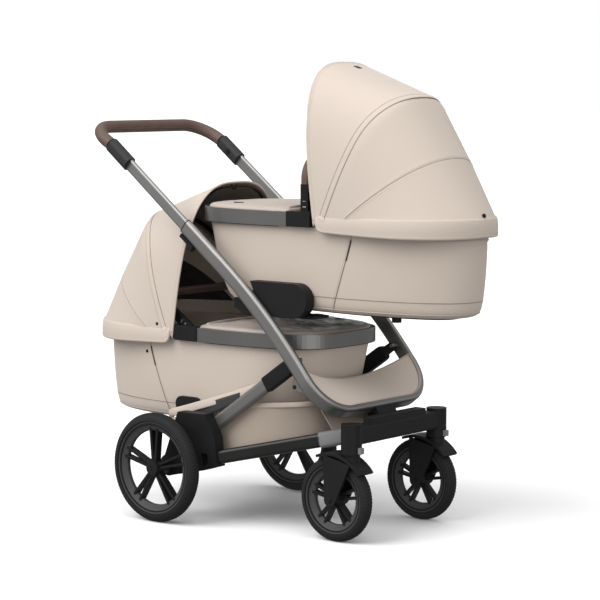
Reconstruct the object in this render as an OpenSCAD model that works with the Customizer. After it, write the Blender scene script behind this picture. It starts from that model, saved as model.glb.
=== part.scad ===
// Twin pram: one folding chassis that carries two carrycots, one above the other.
// X points forward, Y to the left and Z up. The origin is on the floor under the middle.

/* [Wheels] */
// Diameter of a rear wheel over its tyre
rear_wheel_d = 282; // [250:1:300]
// Width of a rear tyre
rear_tyre_w = 39; // [30:1:42]
// Height of a rear tyre above its rim
rear_tyre_h = 21; // [20:0.5:26]
// Distance from a side tube's middle to its rear tyre's middle
wheel_side = 63.5; // [63.5:0.5:80]
// Diameter of a front wheel over its tyre
front_wheel_d = 212; // [190:1:216]
// Width of a front tyre
front_tyre_w = 36; // [28:1:38]
// Height of a front tyre above its rim
front_tyre_h = 19; // [18:0.5:22]
// Distance between the caster stems
front_track = 353; // [340:1:360]
// Distance from the rear axle to the front axle
wheelbase = 508; // [500:1:520]
// How far a front axle trails its caster stem
caster_trail = 46; // [40:1:50]
// Number of twin-rib spokes in a wheel
spoke_count = 5; // [4:1:7]
// Diameter of a rear stub axle
rear_stub_d = 12; // [10:1:16]
// Diameter of a front axle bolt
front_bolt_d = 10; // [8:1:12]
// Diameter of a caster stem
stem_d = 18; // [14:1:22]

/* [Frame] */
// Distance from a cot's side to the middle of its side tube
frame_side = 22; // [20:0.5:25]
// Height of the oval side tube
tube_h = 41; // [40:1:44]
// Thickness of the oval side tube
tube_t = 20; // [20:1:22]
// Wall of the side tube
tube_wall = 2.5; // [2:0.1:2.5]
// Slope of the handle and of the top of the side tubes, in degrees
slope = 38; // [37:0.5:39]
// Straight length at the top of a side tube
straight_l = 150; // [140:1:160]
// Radius of the long bend in a side tube
bend_r = 1600; // [1550:10:1650]
// Angle of the long bend, in degrees
bend_a = 13.8; // [13.5:0.1:14]
// Radius of the two corners of the front bow
bow_r = 100; // [90:1:110]
// Height of the open top of a side tube
tube_top_z = 758; // [750:1:765]
// Distance of that open top behind the middle of the pram
tube_top_back = 164; // [158:1:170]
// Diameter of the frame's pivot pins
pin_d = 10; // [8:1:12]
// Height of the lower side tube
low_tube_h = 36; // [30:1:38]
// Thickness of the lower side tube
low_tube_t = 18; // [14:1:20]
// Height of a rear leg
leg_h = 36; // [30:1:38]
// Thickness of a rear leg
leg_t = 18; // [14:1:18]

/* [Handle] */
// Height of the sliding handle tube
inner_h = 33; // [30:0.5:33]
// Thickness of the sliding handle tube
inner_t = 12.5; // [11:0.5:12.5]
// Length of handle tube that shows above the side tube
handle_out = 250; // [240:1:255]
// Length of handle tube inside the side tube
handle_in = 60; // [50:1:70]
// Length of a handle collar
collar_l = 80; // [70:1:90]
// Diameter of the leather grip
grip_d = 33; // [28:1:36]
// Diameter of the bar inside the grip
grip_bar_d = 22; // [16:1:24]
// Slope of the grip, in degrees
grip_slope = 29; // [26:0.5:32]
// Distance from the collars to the middle of the grip
grip_reach = 92; // [88:1:100]
// Corner radius of the grip
grip_r = 75; // [60:1:80]
// Diameter of a handle button
button_d = 14; // [10:1:16]
// How far a button stands out of its collar
button_out = 2.5; // [2:0.1:3]

/* [Carrycots] */
// Width of a cot over its rim
cot_w = 390; // [380:1:396]
// Distance from the middle of the pram to a cot's widest place
joint_x = 185; // [180:1:190]
// Length of a cot from its widest place to its foot end
foot_l = 393; // [385:1:400]
// Length of a cot from its widest place to its head end
head_l = 422; // [410:1:430]
// Height of the lower cot's bottom
cot_seat_z = 246; // [242:1:252]
// Height between the upper cot's bottom and the lower cot's rim
cot_space = 57; // [53:1:60]
// Height of the rim band
rim_h = 36; // [30:1:40]
// Thickness of the rim band
rim_t = 10; // [6:0.5:11]
// Depth of a cot's fabric body below its rim
tub_depth = 216; // [200:1:220]
// How much the bottom rises from the head end to the foot end
tub_rise = 14; // [5:1:20]
// Wall of a cot's body
tub_wall = 7; // [5:0.5:9]
// Thickness of a mattress
mattress_t = 40; // [25:1:50]
// Height of a hood above the rim
hood_h = 367; // [360:1:380]
// How far a hood stands out beyond the rim on each side
hood_over = 1; // [0:0.5:3]
// Thickness of the hood's padded fabric
hood_t = 4; // [3:0.5:4]
// Length of a carry handle above its pivot
carry_h = 150; // [130:1:160]
// Lean of the lower cot's carry handle into its hood, in degrees
carry_lean = 55; // [40:1:60]

/* [Hidden] */
$fn = 64;
bend_fn = 360;
ring_n = 48;
arch_n = 12;
run = 0.05;
gap = 0.3;
eps = 1;

// Widths and heights that follow the cots
frame_w = cot_w + 2 * frame_side;
rear_track = frame_w + 2 * wheel_side;
hood_w = cot_w + 2 * hood_over;
cot_drop = tub_depth + rim_h + cot_space;
rim_z = cot_seat_z + tub_depth + rim_h + cot_drop;

// Axle and caster places
rear_x = -214;
rear_r = rear_wheel_d / 2;
front_r = front_wheel_d / 2;
front_x = rear_x + wheelbase;
stem_x = front_x + caster_trail;
track_y = rear_track / 2;
stem_y = front_track / 2;

// Side tube path: straight, long bend, then the bow in a sloping plane
function along(a) = [cos(a), -sin(a)];
function across(a) = [sin(a), cos(a)];
frame_y = frame_w / 2;
tube_top = [-tube_top_back, tube_top_z];
bend_start = tube_top + straight_l * along(slope);
bend_c = bend_start - bend_r * across(slope);
bow_slope = slope + bend_a;
bow_start = bend_c + bend_r * across(bow_slope);
bow_mid = bow_start + bow_r * along(bow_slope);
fold_drop = [22, -35];
fold_p = bow_mid + fold_drop;

// Rear legs hang from a pin in the long bend and stand in the rear brackets
leg_pin_a = 11.6;
leg_top = bend_c + bend_r * across(slope + leg_pin_a);
leg_foot = [-115, 235];
leg_l = norm(leg_top - leg_foot);
leg_a = atan2(leg_top[1] - leg_foot[1], leg_top[0] - leg_foot[0]);
leg_block_l = 108;
leg_y = frame_y - tube_t / 2 - 4 - leg_t / 2;

// Rear brackets and the lower tubes that run inwards to the front beam
bracket_y = frame_y - 13;
bracket_t = 32;
axle_w = 36;
axle_h = 30;
low_rear = [-60, bracket_y + bracket_t / 2 + 2, 175];
beam_h = 46;
beam_d = 40;
beam_z = 267;
low_front = [stem_x - beam_d / 2, 122, beam_z - 4];
low_dir = low_front - low_rear;
low_l = norm(low_dir);

// Casters
fork_gap = 4;
fork_arm_t = 7;
fork_w = front_tyre_w + 2 * fork_gap + 2 * fork_arm_t;
crown_t = 7;
crown_r = front_r + fork_gap;
socket_r = 26;
socket_z = front_r + crown_r + crown_t - 1;
socket_top = beam_z + beam_h / 2 + 6;

// Carrycot outline: a round head end and a squarer, narrowing foot end
head_n = 2.2;
foot_n = 3.5;
tub_inset = 14;
rim_cut_x = joint_x - 35;
joint_l = 75;
cover_x = rim_cut_x - 2;
carry_x = joint_x + 5;
carry_z = rim_z - 10;
carry_y = cot_w / 2 - 25;
carry_w = 24;
carry_t = 11;
carry_arm_l = 78;
carry_r = 60;
joint_t = 22;
joint_in = cot_w / 2 - 19;
hood_x = joint_x + 55;
hood_z = rim_z - rim_h / 2 + 1;
hood_base = rim_z - rim_h + 4;
bow_t = 3;
bow_gap = 0.6;
hood_pin_d = 8;
function sgn_pow(v, p) = sign(v) * pow(abs(v), p);
function tub_bottom(x) = tub_depth - tub_rise * (joint_x + head_l - x) / (foot_l + head_l);
function lip(x) = x > joint_x + 0.2 * head_l ? rim_h - 6 : 0;
function lip_ring(inset) = [for (p = cot_ring(inset, 0, 0)) p + [0, 0, lip(p[0])]];
function cot_ring(inset, foot_in, deep, n = ring_n) = [
  for (k = [0:n - 1])
    let (a = 360 * k / n, c = cos(a), s = sin(a), p = 2 / (c > 0 ? head_n : foot_n))
    let (x = joint_x + (c > 0 ? head_l - inset : foot_l - inset - foot_in) * sgn_pow(c, p))
    [x, (cot_w / 2 - inset) * sgn_pow(s, p), rim_z - rim_h - deep * tub_bottom(x)]
];

// Hood bows from the opening to the hem: foot of the bow, crown and half width
hood_bows = [
  [[joint_x + 51, hood_base], [joint_x - 4, rim_z + hood_h], hood_w / 2, 3],
  [[joint_x + 56, hood_base], [joint_x + 234, rim_z + hood_h - 83], hood_w / 2, 2.6],
  [[joint_x + 117, hood_base], [joint_x + 335, rim_z + 134], hood_w / 2 - 2, 2.3],
  [[joint_x + 187, hood_base], [joint_x + head_l, hood_base + 20], hood_w / 2 - 6, 2],
  [[joint_x + 200, hood_base - 3], [joint_x + head_l + 1, hood_base - 5], hood_w / 2 - 7, 2]
];
function bow_mix(k) =
  let (i = min(floor(k), len(hood_bows) - 2), f = k - i)
  hood_bows[i] * (1 - f) + hood_bows[i + 1] * f;
function bow_arch(k, inset) =
  let (b = bow_mix(k), d = b[1] - b[0], top = b[1] - inset * d / norm(d), p = 2 / b[3])
  [for (j = [-arch_n:arch_n])
    let (u = 90 * j / arch_n, up = pow(cos(u), p), side = sgn_pow(sin(u), p))
    let (q = b[0] + (top - b[0]) * up)
    [q[0], (b[2] - inset) * side, q[1]]];
function reversed(v) = [for (i = [len(v) - 1:-1:0]) v[i]];
function strip(k, inset, t) = concat(bow_arch(k, inset), reversed(bow_arch(k, inset + t)));

// An outline drawn in X and Z, as a plate between two Y values
module plate(y0, y1) {
  translate([0, max(y0, y1), 0])
    rotate([90, 0, 0]) linear_extrude(abs(y1 - y0)) children();
}

// A bar with round ends between two points of an outline
module link(a, b, r) {
  d = b - a;
  translate(a) circle(r);
  translate(b) circle(r);
  translate(a) rotate(atan2(d[1], d[0])) translate([0, 0.05 - r]) square([norm(d), 2 * r - 0.1]);
}

// A flat oval, long along X
module oval(h, t) {
  square([h - t, t], center = true);
  for (s = [-1, 1])
    translate([s * (h - t) / 2, 0]) circle(d = t);
}

module oval_ring(h, t, wall) {
  difference() {
    oval(h, t);
    oval(h - 2 * wall, t - 2 * wall);
  }
}

// A closed skin through rings of points, with a flat cap on the first and the last
module loft(rings) {
  n = len(rings[0]);
  m = len(rings);
  skin(rings, [[for (j = [0:n - 1]) j]], [[for (j = [n - 1:-1:0]) (m - 1) * n + j]]);
}

// The same for thin strips, whose rings run along one face and back along the other
module strip_loft(rings) {
  n = len(rings[0]);
  last = (len(rings) - 1) * n;
  ladder = [for (j = [0:n / 2 - 2]) each [[j, j + 1, n - 1 - j], [j + 1, n - 2 - j, n - 1 - j]]];
  skin(rings, ladder, [for (f = ladder) [last + f[2], last + f[1], last + f[0]]]);
}

module skin(rings, first_cap, last_cap) {
  n = len(rings[0]);
  m = len(rings);
  polyhedron(
    points = [for (r = rings) each r],
    faces = concat(
      first_cap,
      [for (i = [0:m - 2], j = [0:n - 1]) let (k = (j + 1) % n)
        each [[i * n + j, (i + 1) * n + j, i * n + k], [i * n + k, (i + 1) * n + j, (i + 1) * n + k]]],
      last_cap
    ),
    convexity = 6);
}

// The lower cot is the same cot, turned round and set lower
module turned() {
  translate([0, 0, -cot_drop]) rotate([0, 0, 180]) children();
}

// Right-hand pieces are mirrored to the left
module on_side(s) {
  if (s < 0) children();
  else mirror([0, 1, 0]) children();
}

// Chassis

module rear_axle() {
  pedal_y = [35, 129];
  color("#262626") {
    translate([rear_x, 0, rear_r]) {
      rotate([90, 0, 0]) linear_extrude(2 * bracket_y, center = true) oval(axle_w, axle_h);
      rotate([90, 0, 0]) cylinder(d = rear_stub_d, h = rear_track + rear_tyre_w - 6, center = true);
    }
    for (y = pedal_y)
      plate(y, y + 6) link([rear_x - 10, rear_r], brake_p, 9);
    translate([brake_p[0], pedal_y[0], brake_p[1]])
      rotate([-90, 0, 0]) cylinder(d = 8, h = pedal_y[1] - pedal_y[0]);
  }
}

brake_p = [rear_x - 28, rear_r + 8];

module brake_pedal() {
  color("#1f1f1f")
    difference() {
      union() {
        plate(41.5, 128.5) link(brake_p, brake_p + [-8, 0], 8);
        plate(50, 120) link(brake_p + [-12, 0], brake_p + [-62, 8], 3.5);
      }
      translate([brake_p[0], 30, brake_p[1]])
        rotate([-90, 0, 0]) cylinder(d = 8 + 2 * run, h = 110);
    }
}

module lower_tube_solid(h, t, from, to) {
  flat = norm([low_dir[0], low_dir[1]]);
  translate([low_rear[0], -low_rear[1], low_rear[2]])
    rotate([0, 0, atan2(-low_dir[1], low_dir[0])])
      rotate([0, 90 - atan2(low_dir[2], flat), 0])
        translate([0, 0, from]) linear_extrude(to - from) oval(h, t);
}

module rear_bracket() {
  color("#2b2b2b")
    difference() {
      union() {
        plate(-bracket_y, -bracket_y - bracket_t) {
          translate([rear_x, rear_r]) circle(28);
          polygon([[-228, 160], [-180, 283], [-88, 285], [-54, 228], [-46, 154], [-92, 140], [-205, 115]]);
        }
        translate([leg_foot[0], -bracket_y, leg_foot[1]])
          rotate([0, -leg_a, 0])
            translate([-8, -1, -leg_h / 2 - gap - 12]) cube([36, leg_t + 4, 12]);
      }
      lower_tube_solid(low_tube_h, low_tube_t, -40, 80);
      translate([rear_x, 0, rear_r])
        rotate([90, 0, 0]) cylinder(d = rear_stub_d, h = rear_track);
    }
}

module lower_tube() {
  color("#5c5c5c")
    intersection() {
      union() {
        lower_tube_solid(low_tube_h, low_tube_t, 0, low_l + 30);
        lower_tube_solid(low_tube_h + 4, low_tube_t + 4, low_l * 0.74, low_l * 0.9);
      }
      translate([-500, -500, 0]) cube([500 + stem_x - beam_d / 2, 1000, 500]);
    }
}

module front_beam() {
  lug_in = 37;
  lug_t = 13;
  housing_w = 216;
  color("#2b2b2b")
    difference() {
      union() {
        translate([stem_x, 0, beam_z])
          rotate([90, 0, 0]) linear_extrude(front_track, center = true) {
            square([beam_d - 16, beam_h], center = true);
            square([beam_d, beam_h - 16], center = true);
            for (x = [-1, 1], z = [-1, 1])
              translate([x * (beam_d / 2 - 8), z * (beam_h / 2 - 8)]) circle(8);
          }
        for (s = [-1, 1])
          translate([stem_x, s * stem_y, socket_z]) cylinder(r = socket_r, h = socket_top - socket_z);
        translate([stem_x - 16, -housing_w / 2, beam_z]) cube([32, housing_w, beam_h / 2 + 14]);
        for (s = [-1, 1])
          plate(s * lug_in, s * (lug_in + lug_t)) link(fold_p, [stem_x - 4, beam_z], 17);
      }
      for (s = [-1, 1])
        translate([stem_x, s * stem_y, socket_z - eps])
          cylinder(d = stem_d + 2 * run, h = socket_top - socket_z - 8);
      plate(-lug_in, lug_in)
        translate(fold_p) circle(26);
    }
  color("#8a8a8a")
    translate([fold_p[0], 0, fold_p[1]])
      rotate([90, 0, 0]) cylinder(d = pin_d, h = 2 * (lug_in + lug_t), center = true);
}

// The shopping basket hangs between the lower tubes and reaches up to the bow
function low_z(x) = low_rear[2] + low_dir[2] * (x - low_rear[0]) / low_dir[0];
function low_y(x) = low_rear[1] + low_dir[1] * (x - low_rear[0]) / low_dir[0];
basket_rear = -140;
basket_front_x = 205;
basket_w = cot_w - 32;
basket_t = 3;
function basket_ring(inset, up, n = ring_n) =
  let (mid = (basket_rear + basket_front_x) / 2, half = (basket_front_x - basket_rear) / 2 - inset)
  [for (k = [0:n - 1])
    let (a = 360 * k / n, x = mid + half * sgn_pow(cos(a), 0.35))
    let (wide = min(basket_w / 2, low_y(x) - low_tube_t) * (1 - up) + basket_w / 2 * up)
    let (floor_z = low_z(x) - 4 + inset, back = min(1, max(0, (basket_rear + 75 - x) / 40)))
    let (hem = cot_seat_z + 54 + 34 * (x - basket_rear) / (basket_front_x - basket_rear) - 72 * back)
    [x, (wide - inset) * sgn_pow(sin(a), 0.35), floor_z * (1 - up) + hem * up]];

module basket() {
  color("#d9cdbf")
    loft([basket_ring(6, 0), basket_ring(0, 0.04), basket_ring(0, 0.5), basket_ring(0, 1),
          basket_ring(basket_t, 1), basket_ring(basket_t, 0.5),
          [for (p = basket_ring(basket_t + 4, 0)) p + [0, 0, basket_t]]]);
}

// The front panel of the basket is slack cloth between the basket, the front beam and the bow
module basket_front() {
  low = [for (j = [-8:8]) [282 - 28 * pow(j / 8, 2), j * 15.85, 266 - 14 * pow(j / 8, 2)]];
  high = [for (j = [-8:8]) [250 - 40 * pow(j / 8, 2), j / 8 * (basket_w / 2 - 19), 292 + 58 * pow(j / 8, 4)]];
  back = [-3, 0, -2];
  color("#d9cdbf")
    strip_loft([concat(low, reversed([for (p = low) p + back])),
          concat((low + high) / 2, reversed([for (p = (low + high) / 2) p + 2 * back])),
          concat(high, reversed([for (p = high) p + back]))]);
}

module lower_adaptors() {
  inner = joint_in - 4;
  color("#242424")
    for (s = [-1, 1]) on_side(s)
      difference() {
        union() {
          plate(-inner, -inner - 9.5) {
            link([-205, rear_r + 24], [-200, cot_seat_z + 46], 22);
            link([-217, cot_seat_z + 48], [-172, cot_seat_z + 48], 20);
          }
          translate([-225, -inner - 2, cot_seat_z - 14]) cube([60, 52, 8]);
        }
        translate([rear_x - 100, -bracket_y, rear_r - 50]) cube([200, bracket_y, 50 + axle_h / 2]);
      }
}

// Main frame

module bow_frame() {
  translate([bow_start[0], 0, bow_start[1]]) rotate([0, bow_slope, 0]) children();
}

module bow_path() {
  bow_frame() {
    for (s = [-1, 1]) on_side(s) {
      translate([0, bow_r - frame_y, 0]) rotate([0, 0, -90])
        rotate_extrude(angle = 90, $fn = 96) translate([bow_r, 0]) rotate(90) children();
      translate([0, -frame_y, 0]) rotate([0, -90, 0]) linear_extrude(8) children();
    }
    translate([bow_r, 0, 0])
      rotate([90, 0, 0]) linear_extrude(2 * (frame_y - bow_r), center = true) rotate(90) children();
  }
}

module side_path(h, t, extra) {
  hair = 0.5;
  for (y = [-frame_y, frame_y]) {
    translate([tube_top[0] - extra * cos(slope), y, tube_top[1] + extra * sin(slope)])
      rotate([0, 90 + slope, 0]) linear_extrude(straight_l + extra) oval(h, t);
    translate([bend_c[0], y, bend_c[1]])
      rotate([90, 0, 0]) rotate([0, 0, 90 - bow_slope])
        rotate_extrude(angle = bend_a, $fn = bend_fn) translate([bend_r, 0]) oval(h - hair, t - hair, $fn = 64);
  }
}

module main_tube() {
  color("#6f6f70") {
    difference() {
      union() {
        side_path(tube_h, tube_t, 0);
        bow_path() oval(tube_h, tube_t);
      }
      side_path(tube_h - 2 * tube_wall, tube_t - 2 * tube_wall, eps);
      bow_path() oval(tube_h - 2 * tube_wall, tube_t - 2 * tube_wall);
    }
    for (s = [-1, 1]) on_side(s)
      translate([leg_top[0], -leg_y + leg_t / 2 + 1, leg_top[1]])
        rotate([90, 0, 0]) cylinder(d = pin_d, h = frame_y - leg_y + leg_t / 2 + 1 - tube_t / 2 + tube_wall);
  }
}

module handle_line() {
  translate([tube_top[0], 0, tube_top[1]]) rotate([0, slope, 0]) children();
}

// A bar along the handle line, from one distance above the tube top to another
module handle_bar(from, to) {
  translate([-from, 0, 0]) rotate([0, -90, 0]) linear_extrude(to - from) children();
}

module tube_bushes() {
  slide = 0.1;
  color("#1e1e1e") handle_line()
    for (y = [-frame_y, frame_y]) translate([0, y, 0])
      difference() {
        union() {
          handle_bar(-30, 0) oval(tube_h - 2 * tube_wall, tube_t - 2 * tube_wall);
          handle_bar(0, 3) oval(tube_h, tube_t);
        }
        handle_bar(-40, 10) oval(inner_h + 2 * slide, inner_t + 2 * slide);
      }
}

module bow_hinge() {
  color("#242424")
    difference() {
      plate(-36.5, 36.5) link(fold_p, bow_mid + 12 * along(bow_slope), 17);
      bow_frame() translate([bow_r, 0, 0])
        rotate([90, 0, 0]) linear_extrude(100, center = true) rotate(90) oval(tube_h, tube_t);
      translate([fold_p[0], 0, fold_p[1]])
        rotate([90, 0, 0]) cylinder(d = pin_d + 2 * run, h = 100, center = true);
    }
}

// A fabric apron is stretched inside the bow and dips at its rear edge
module apron() {
  t = 3;
  inner = frame_y - tube_t / 2 - 0.5;
  deep = 42;
  reach = bow_r - tube_t / 2 - 0.5;
  xs = [-22, 8, 36, 62, reach - 6];
  function half(x) = x <= 0 ? inner : inner - bow_r + tube_t / 2 + sqrt(pow(bow_r - tube_t / 2, 2) - x * x);
  function dip(x) = deep * pow(1 - (x - xs[0]) / (reach - xs[0]), 1.4);
  function top(x) = [for (j = [-9:9]) [x + 20 * (1 - pow(j / 9, 2)) * (1 - (x - xs[0]) / (reach - xs[0])),
    j / 9 * half(x), tube_h / 2 - 5 - dip(x) * (1 - pow(j / 9, 2))]];
  color("#d9cdbf") bow_frame()
    strip_loft([for (x = xs) concat(top(x), reversed([for (p = top(x)) p - [0, 0, t]]))]);
}

// Handle

module grip_line() {
  handle_line() translate([-handle_out - collar_l, 0, 0]) rotate([0, grip_slope - slope, 0]) children();
}

// The U of the grip from a start on its legs, swept with a round section
module grip_path(start) {
  grip_line() {
    for (s = [-1, 1]) on_side(s) {
      translate([-start, -frame_y, 0]) rotate([0, -90, 0]) linear_extrude(grip_reach - grip_r - start) children();
      translate([grip_r - grip_reach, grip_r - frame_y, 0]) rotate([0, 0, 180])
        rotate_extrude(angle = 90, $fn = 96) translate([grip_r, 0]) children();
    }
    translate([-grip_reach, 0, 0])
      rotate([90, 0, 0]) linear_extrude(2 * (frame_y - grip_r), center = true) children();
  }
}

module handle_core() {
  handle_line()
    for (y = [-frame_y, frame_y])
      translate([0, y, 0]) handle_bar(-handle_in, handle_out + collar_l * 0.65) oval(inner_h, inner_t);
  grip_path(-collar_l * 0.4) circle(d = grip_bar_d);
}

module handle_tube() {
  color("#8d8d8e") handle_core();
}

module handle_grip() {
  color("#6b554a") grip_path(3)
    difference() {
      circle(d = grip_d);
      circle(d = grip_bar_d);
    }
}

collar_t = 32;
collar_h = 40;
button_x = -handle_out - collar_l * 0.45;

module handle_collars() {
  color("#202020")
    difference() {
      handle_line()
        for (s = [-1, 1]) on_side(s) difference() {
          translate([0, -frame_y, 0]) handle_bar(handle_out, handle_out + collar_l) oval(collar_h, collar_t);
          translate([button_x, collar_t / 2 - frame_y + eps, 0])
            rotate([90, 0, 0]) cylinder(d = button_d + 2 * run, h = 8.2 + eps);
        }
      handle_core();
    }
}

module button() {
  color("#101010") handle_line()
    translate([button_x, collar_t / 2 - frame_y + button_out, 0])
      rotate([90, 0, 0]) cylinder(d = button_d, h = 5.4 + button_out);
}

module latch() {
  color("#1c1c1c") handle_line()
    plate(-frame_y - 8, -frame_y + 8) {
      translate([2, -tube_h / 2 - gap - 9]) square([52, 9]);
      translate([40, -tube_h / 2 - gap - 17]) square([14, 12]);
    }
}

// Rear legs

module leg_line() {
  translate([leg_foot[0], 0, leg_foot[1]]) rotate([0, -leg_a, 0]) children();
}

module leg() {
  color("#8a8a8c") leg_line()
    translate([-14, -leg_y, 0])
      rotate([0, 90, 0]) linear_extrude(leg_l - leg_block_l + 14) oval_ring(leg_h, leg_t, 2.5);
}

module leg_block() {
  color("#232323")
    difference() {
      leg_line() plate(-leg_y - leg_t / 2 - 1, -leg_y + leg_t / 2 + 1) {
        translate([leg_l - leg_block_l, -leg_h / 2 - 1.5]) square([leg_block_l, leg_h + 3]);
        translate([leg_l, 0]) circle(leg_h / 2 + 1);
      }
      translate([leg_top[0], 0, leg_top[1]])
        rotate([90, 0, 0]) cylinder(d = pin_d + 2 * run, h = frame_y);
    }
}

// Wheels and casters

module tyre(r, h, w) {
  color("#2a2a2b") rotate([90, 0, 0])
    rotate_extrude($fn = 128) {
      translate([r - h, -w / 2]) square([h - w / 2 + eps / 2, w]);
      translate([r - w / 2, 0]) intersection() {
        circle(d = w);
        translate([max(w / 2 - h, -w / 2), -w]) square([2 * w, 2 * w]);
      }
    }
}

module wheel(r, w, hub_in, hub_out, bore) {
  rim_t = 9;
  hub_r = 19;
  rib_w = 7;
  color("#3a3a3c")
    difference() {
      union() {
        rotate([90, 0, 0]) linear_extrude(w, center = true)
          difference() {
            circle(r, $fn = 128);
            circle(r - rim_t, $fn = 128);
          }
        translate([0, hub_in, 0]) rotate([90, 0, 0]) cylinder(r = hub_r, h = hub_in + hub_out);
        rotate([90, 0, 0]) linear_extrude(w * 0.6, center = true)
          for (i = [0:spoke_count - 1], s = [-1, 1])
            rotate(90 + 360 * i / spoke_count)
              polygon([[hub_r - 4, s * 4 - rib_w / 2], [hub_r - 4, s * 4 + rib_w / 2],
                       [r - rim_t / 2, s * 13 + rib_w / 2], [r - rim_t / 2, s * 13 - rib_w / 2]]);
      }
      rotate([90, 0, 0]) cylinder(d = bore, h = 200, center = true);
    }
}

module front_at() {
  translate([front_x, -stem_y, front_r]) children();
}

module rear_at() {
  translate([rear_x, -track_y, rear_r]) children();
}

module front_wheel() {
  hub = fork_w / 2 - fork_arm_t - gap;
  front_at() wheel(front_r - front_tyre_h, front_tyre_w * 0.8, hub, hub, front_bolt_d + 2 * run);
}

module front_tyre() {
  front_at() tyre(front_r, front_tyre_h, front_tyre_w);
}

module rear_wheel() {
  hub_in = track_y - bracket_y - bracket_t - gap;
  rear_at() wheel(rear_r - rear_tyre_h, rear_tyre_w * 0.8, hub_in, rear_tyre_w / 2 - 2, rear_stub_d + 2 * run);
}

module rear_tyre() {
  rear_at() tyre(rear_r, rear_tyre_h, rear_tyre_w);
}

module fork() {
  arm = [[-17, 4], [-20, crown_r], [62, crown_r - 18], [18, -4]];
  color("#2b2b2b") front_at() {
    difference() {
      union() {
        plate(-fork_w / 2, fork_w / 2)
          intersection() {
            difference() {
              circle(crown_r + crown_t);
              circle(crown_r);
            }
            polygon([[0, 0], 200 * [cos(38), sin(38)], 200 * [cos(70), sin(70)], 200 * [cos(112), sin(112)]]);
          }
        for (s = [-1, 1])
          plate(s * (fork_w / 2 - fork_arm_t), s * fork_w / 2) {
            circle(17);
            polygon(arm);
          }
        translate([caster_trail, 0, 0]) cylinder(r = 21.5, h = socket_z - front_r - gap);
      }
      plate(-fork_w / 2 + fork_arm_t, fork_w / 2 - fork_arm_t) circle(crown_r);
      translate([caster_trail, 0, socket_z - front_r - gap]) cylinder(r = socket_r + 2, h = 40);
    }
    translate([caster_trail, 0, crown_r - 4])
      cylinder(d = stem_d, h = socket_top - front_r - crown_r - 6);
    rotate([90, 0, 0]) cylinder(d = front_bolt_d, h = fork_w + 6, center = true);
  }
}

module swivel_lock() {
  color("#8f9293")
    difference() {
      translate([stem_x + socket_r - 8, -stem_y - 7, socket_z + 3]) cube([16, 14, 15]);
      translate([stem_x, -stem_y, 0]) cylinder(r = socket_r + gap, h = 400);
    }
}

// Carrycots, drawn at the upper cot's place

module tub() {
  w = tub_wall;
  outer = [[1, 4, 0.08], [6, 22, 0.55], [14, 40, 0.87], [24, 54, 0.97], [38, 70, 1]];
  inner = [[28, 60, 0.95], [15, 42, 0.84], [6, 22, 0.55], [1, 4, 0.08]];
  color("#d6c9bb")
    loft(concat(
      [for (o = reversed(outer)) cot_ring(tub_inset + o[0], o[1], o[2])],
      [lip_ring(tub_inset), lip_ring(tub_inset + w)],
      reversed([for (i = inner) cot_ring(tub_inset + w + i[0], i[1], i[2])])));
}

module rim() {
  color("#767678")
    translate([0, 0, rim_z - rim_h]) linear_extrude(rim_h)
      intersection() {
        difference() {
          polygon([for (p = cot_ring(0, 0, 0, 2 * ring_n)) [p[0], p[1]]]);
          polygon([for (p = cot_ring(rim_t, 0, 0, 2 * ring_n)) [p[0], p[1]]]);
        }
        translate([rim_cut_x - 1000, -500]) square([1000, 1000]);
      }
}

module joints() {
  tongue_out = hood_w / 2 - hood_t - 2 * bow_t - 3 * bow_gap - gap;
  color("#262626")
    for (s = [-1, 1]) on_side(s) {
      translate([rim_cut_x, -joint_in - joint_t, rim_z - rim_h]) cube([joint_l, joint_t, rim_h + 2]);
      translate([carry_x + 10, -tongue_out, rim_z - rim_h + 2])
        cube([52, tongue_out - carry_y - carry_t / 2, rim_h - 8]);
      translate([hood_x, -tongue_out + eps, hood_z])
        rotate([90, 0, 0]) cylinder(d = hood_pin_d, h = 2 * bow_t + 2 * bow_gap + gap + eps);
      translate([carry_x, -joint_in - eps, carry_z])
        rotate([-90, 0, 0]) cylinder(d = hood_pin_d, h = carry_t + 3 + eps);
    }
}

module base() {
  color("#2a2a2a") {
    loft([cot_ring(tub_inset + 70, 90, 1.03), cot_ring(tub_inset + 66, 86, 1.002)]);
    for (x = [joint_x - 190, joint_x + 215], y = [-75, 75])
      translate([x, y, rim_z - rim_h - 1.01 * tub_bottom(x) - 16]) cylinder(r = 12, h = 16);
  }
}

module mattress() {
  lift = mattress_t / tub_depth;
  bed = [[30, 0.94, 0], [24, 0.9, 0.25], [25, 0.87, 0.5], [34, 0.845, 0.8], [60, 0.83, 0.95], [110, 0.824, 1]];
  color("#efe9e0")
    loft([for (b = bed) cot_ring(tub_inset + tub_wall + b[0], 62, 0.94 - lift * b[2])]);
}

// A cot's cover lies on its rim; the lower one is slack and has folds along it
function cover_ring(inset, rise, fold) =
  let (reach = foot_l - inset, wide = cot_w / 2 - inset, p = 2 / foot_n)
  let (first = acos(-pow((joint_x - cover_x) / reach, 1 / p)))
  concat(
    [for (k = [0:32])
      let (a = first + (360 - 2 * first) * k / 32)
      let (x = joint_x - reach * pow(-cos(a), p), y = wide * sgn_pow(sin(a), p))
      [x, y, rim_z + rise + fold * sin(4.2 * y + 0.9 * x) * sin(1.1 * x + 40)]],
    [for (j = [-7:7])
      let (y = wide * j / 8)
      [cover_x - inset / 8 - 6 * (1 - pow(j / 8, 2)), y, rim_z + rise + fold * sin(4.2 * y + 0.9 * cover_x)]]);

module cover(fold) {
  in = rim_t + 1;
  color(fold > 0 ? "#8d7d72" : "#d2c5b8")
    loft([cover_ring(in + 8, -12, 0), cover_ring(in + 1, -9, 0), cover_ring(in, 0, 0), cover_ring(in + 6, 5, fold / 3),
          cover_ring(in + 30, 9, fold), cover_ring(in + 62, 11, fold), cover_ring(in + 95, 12.2, fold),
          cover_ring(in + 128, 13, fold)]);
}

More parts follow.
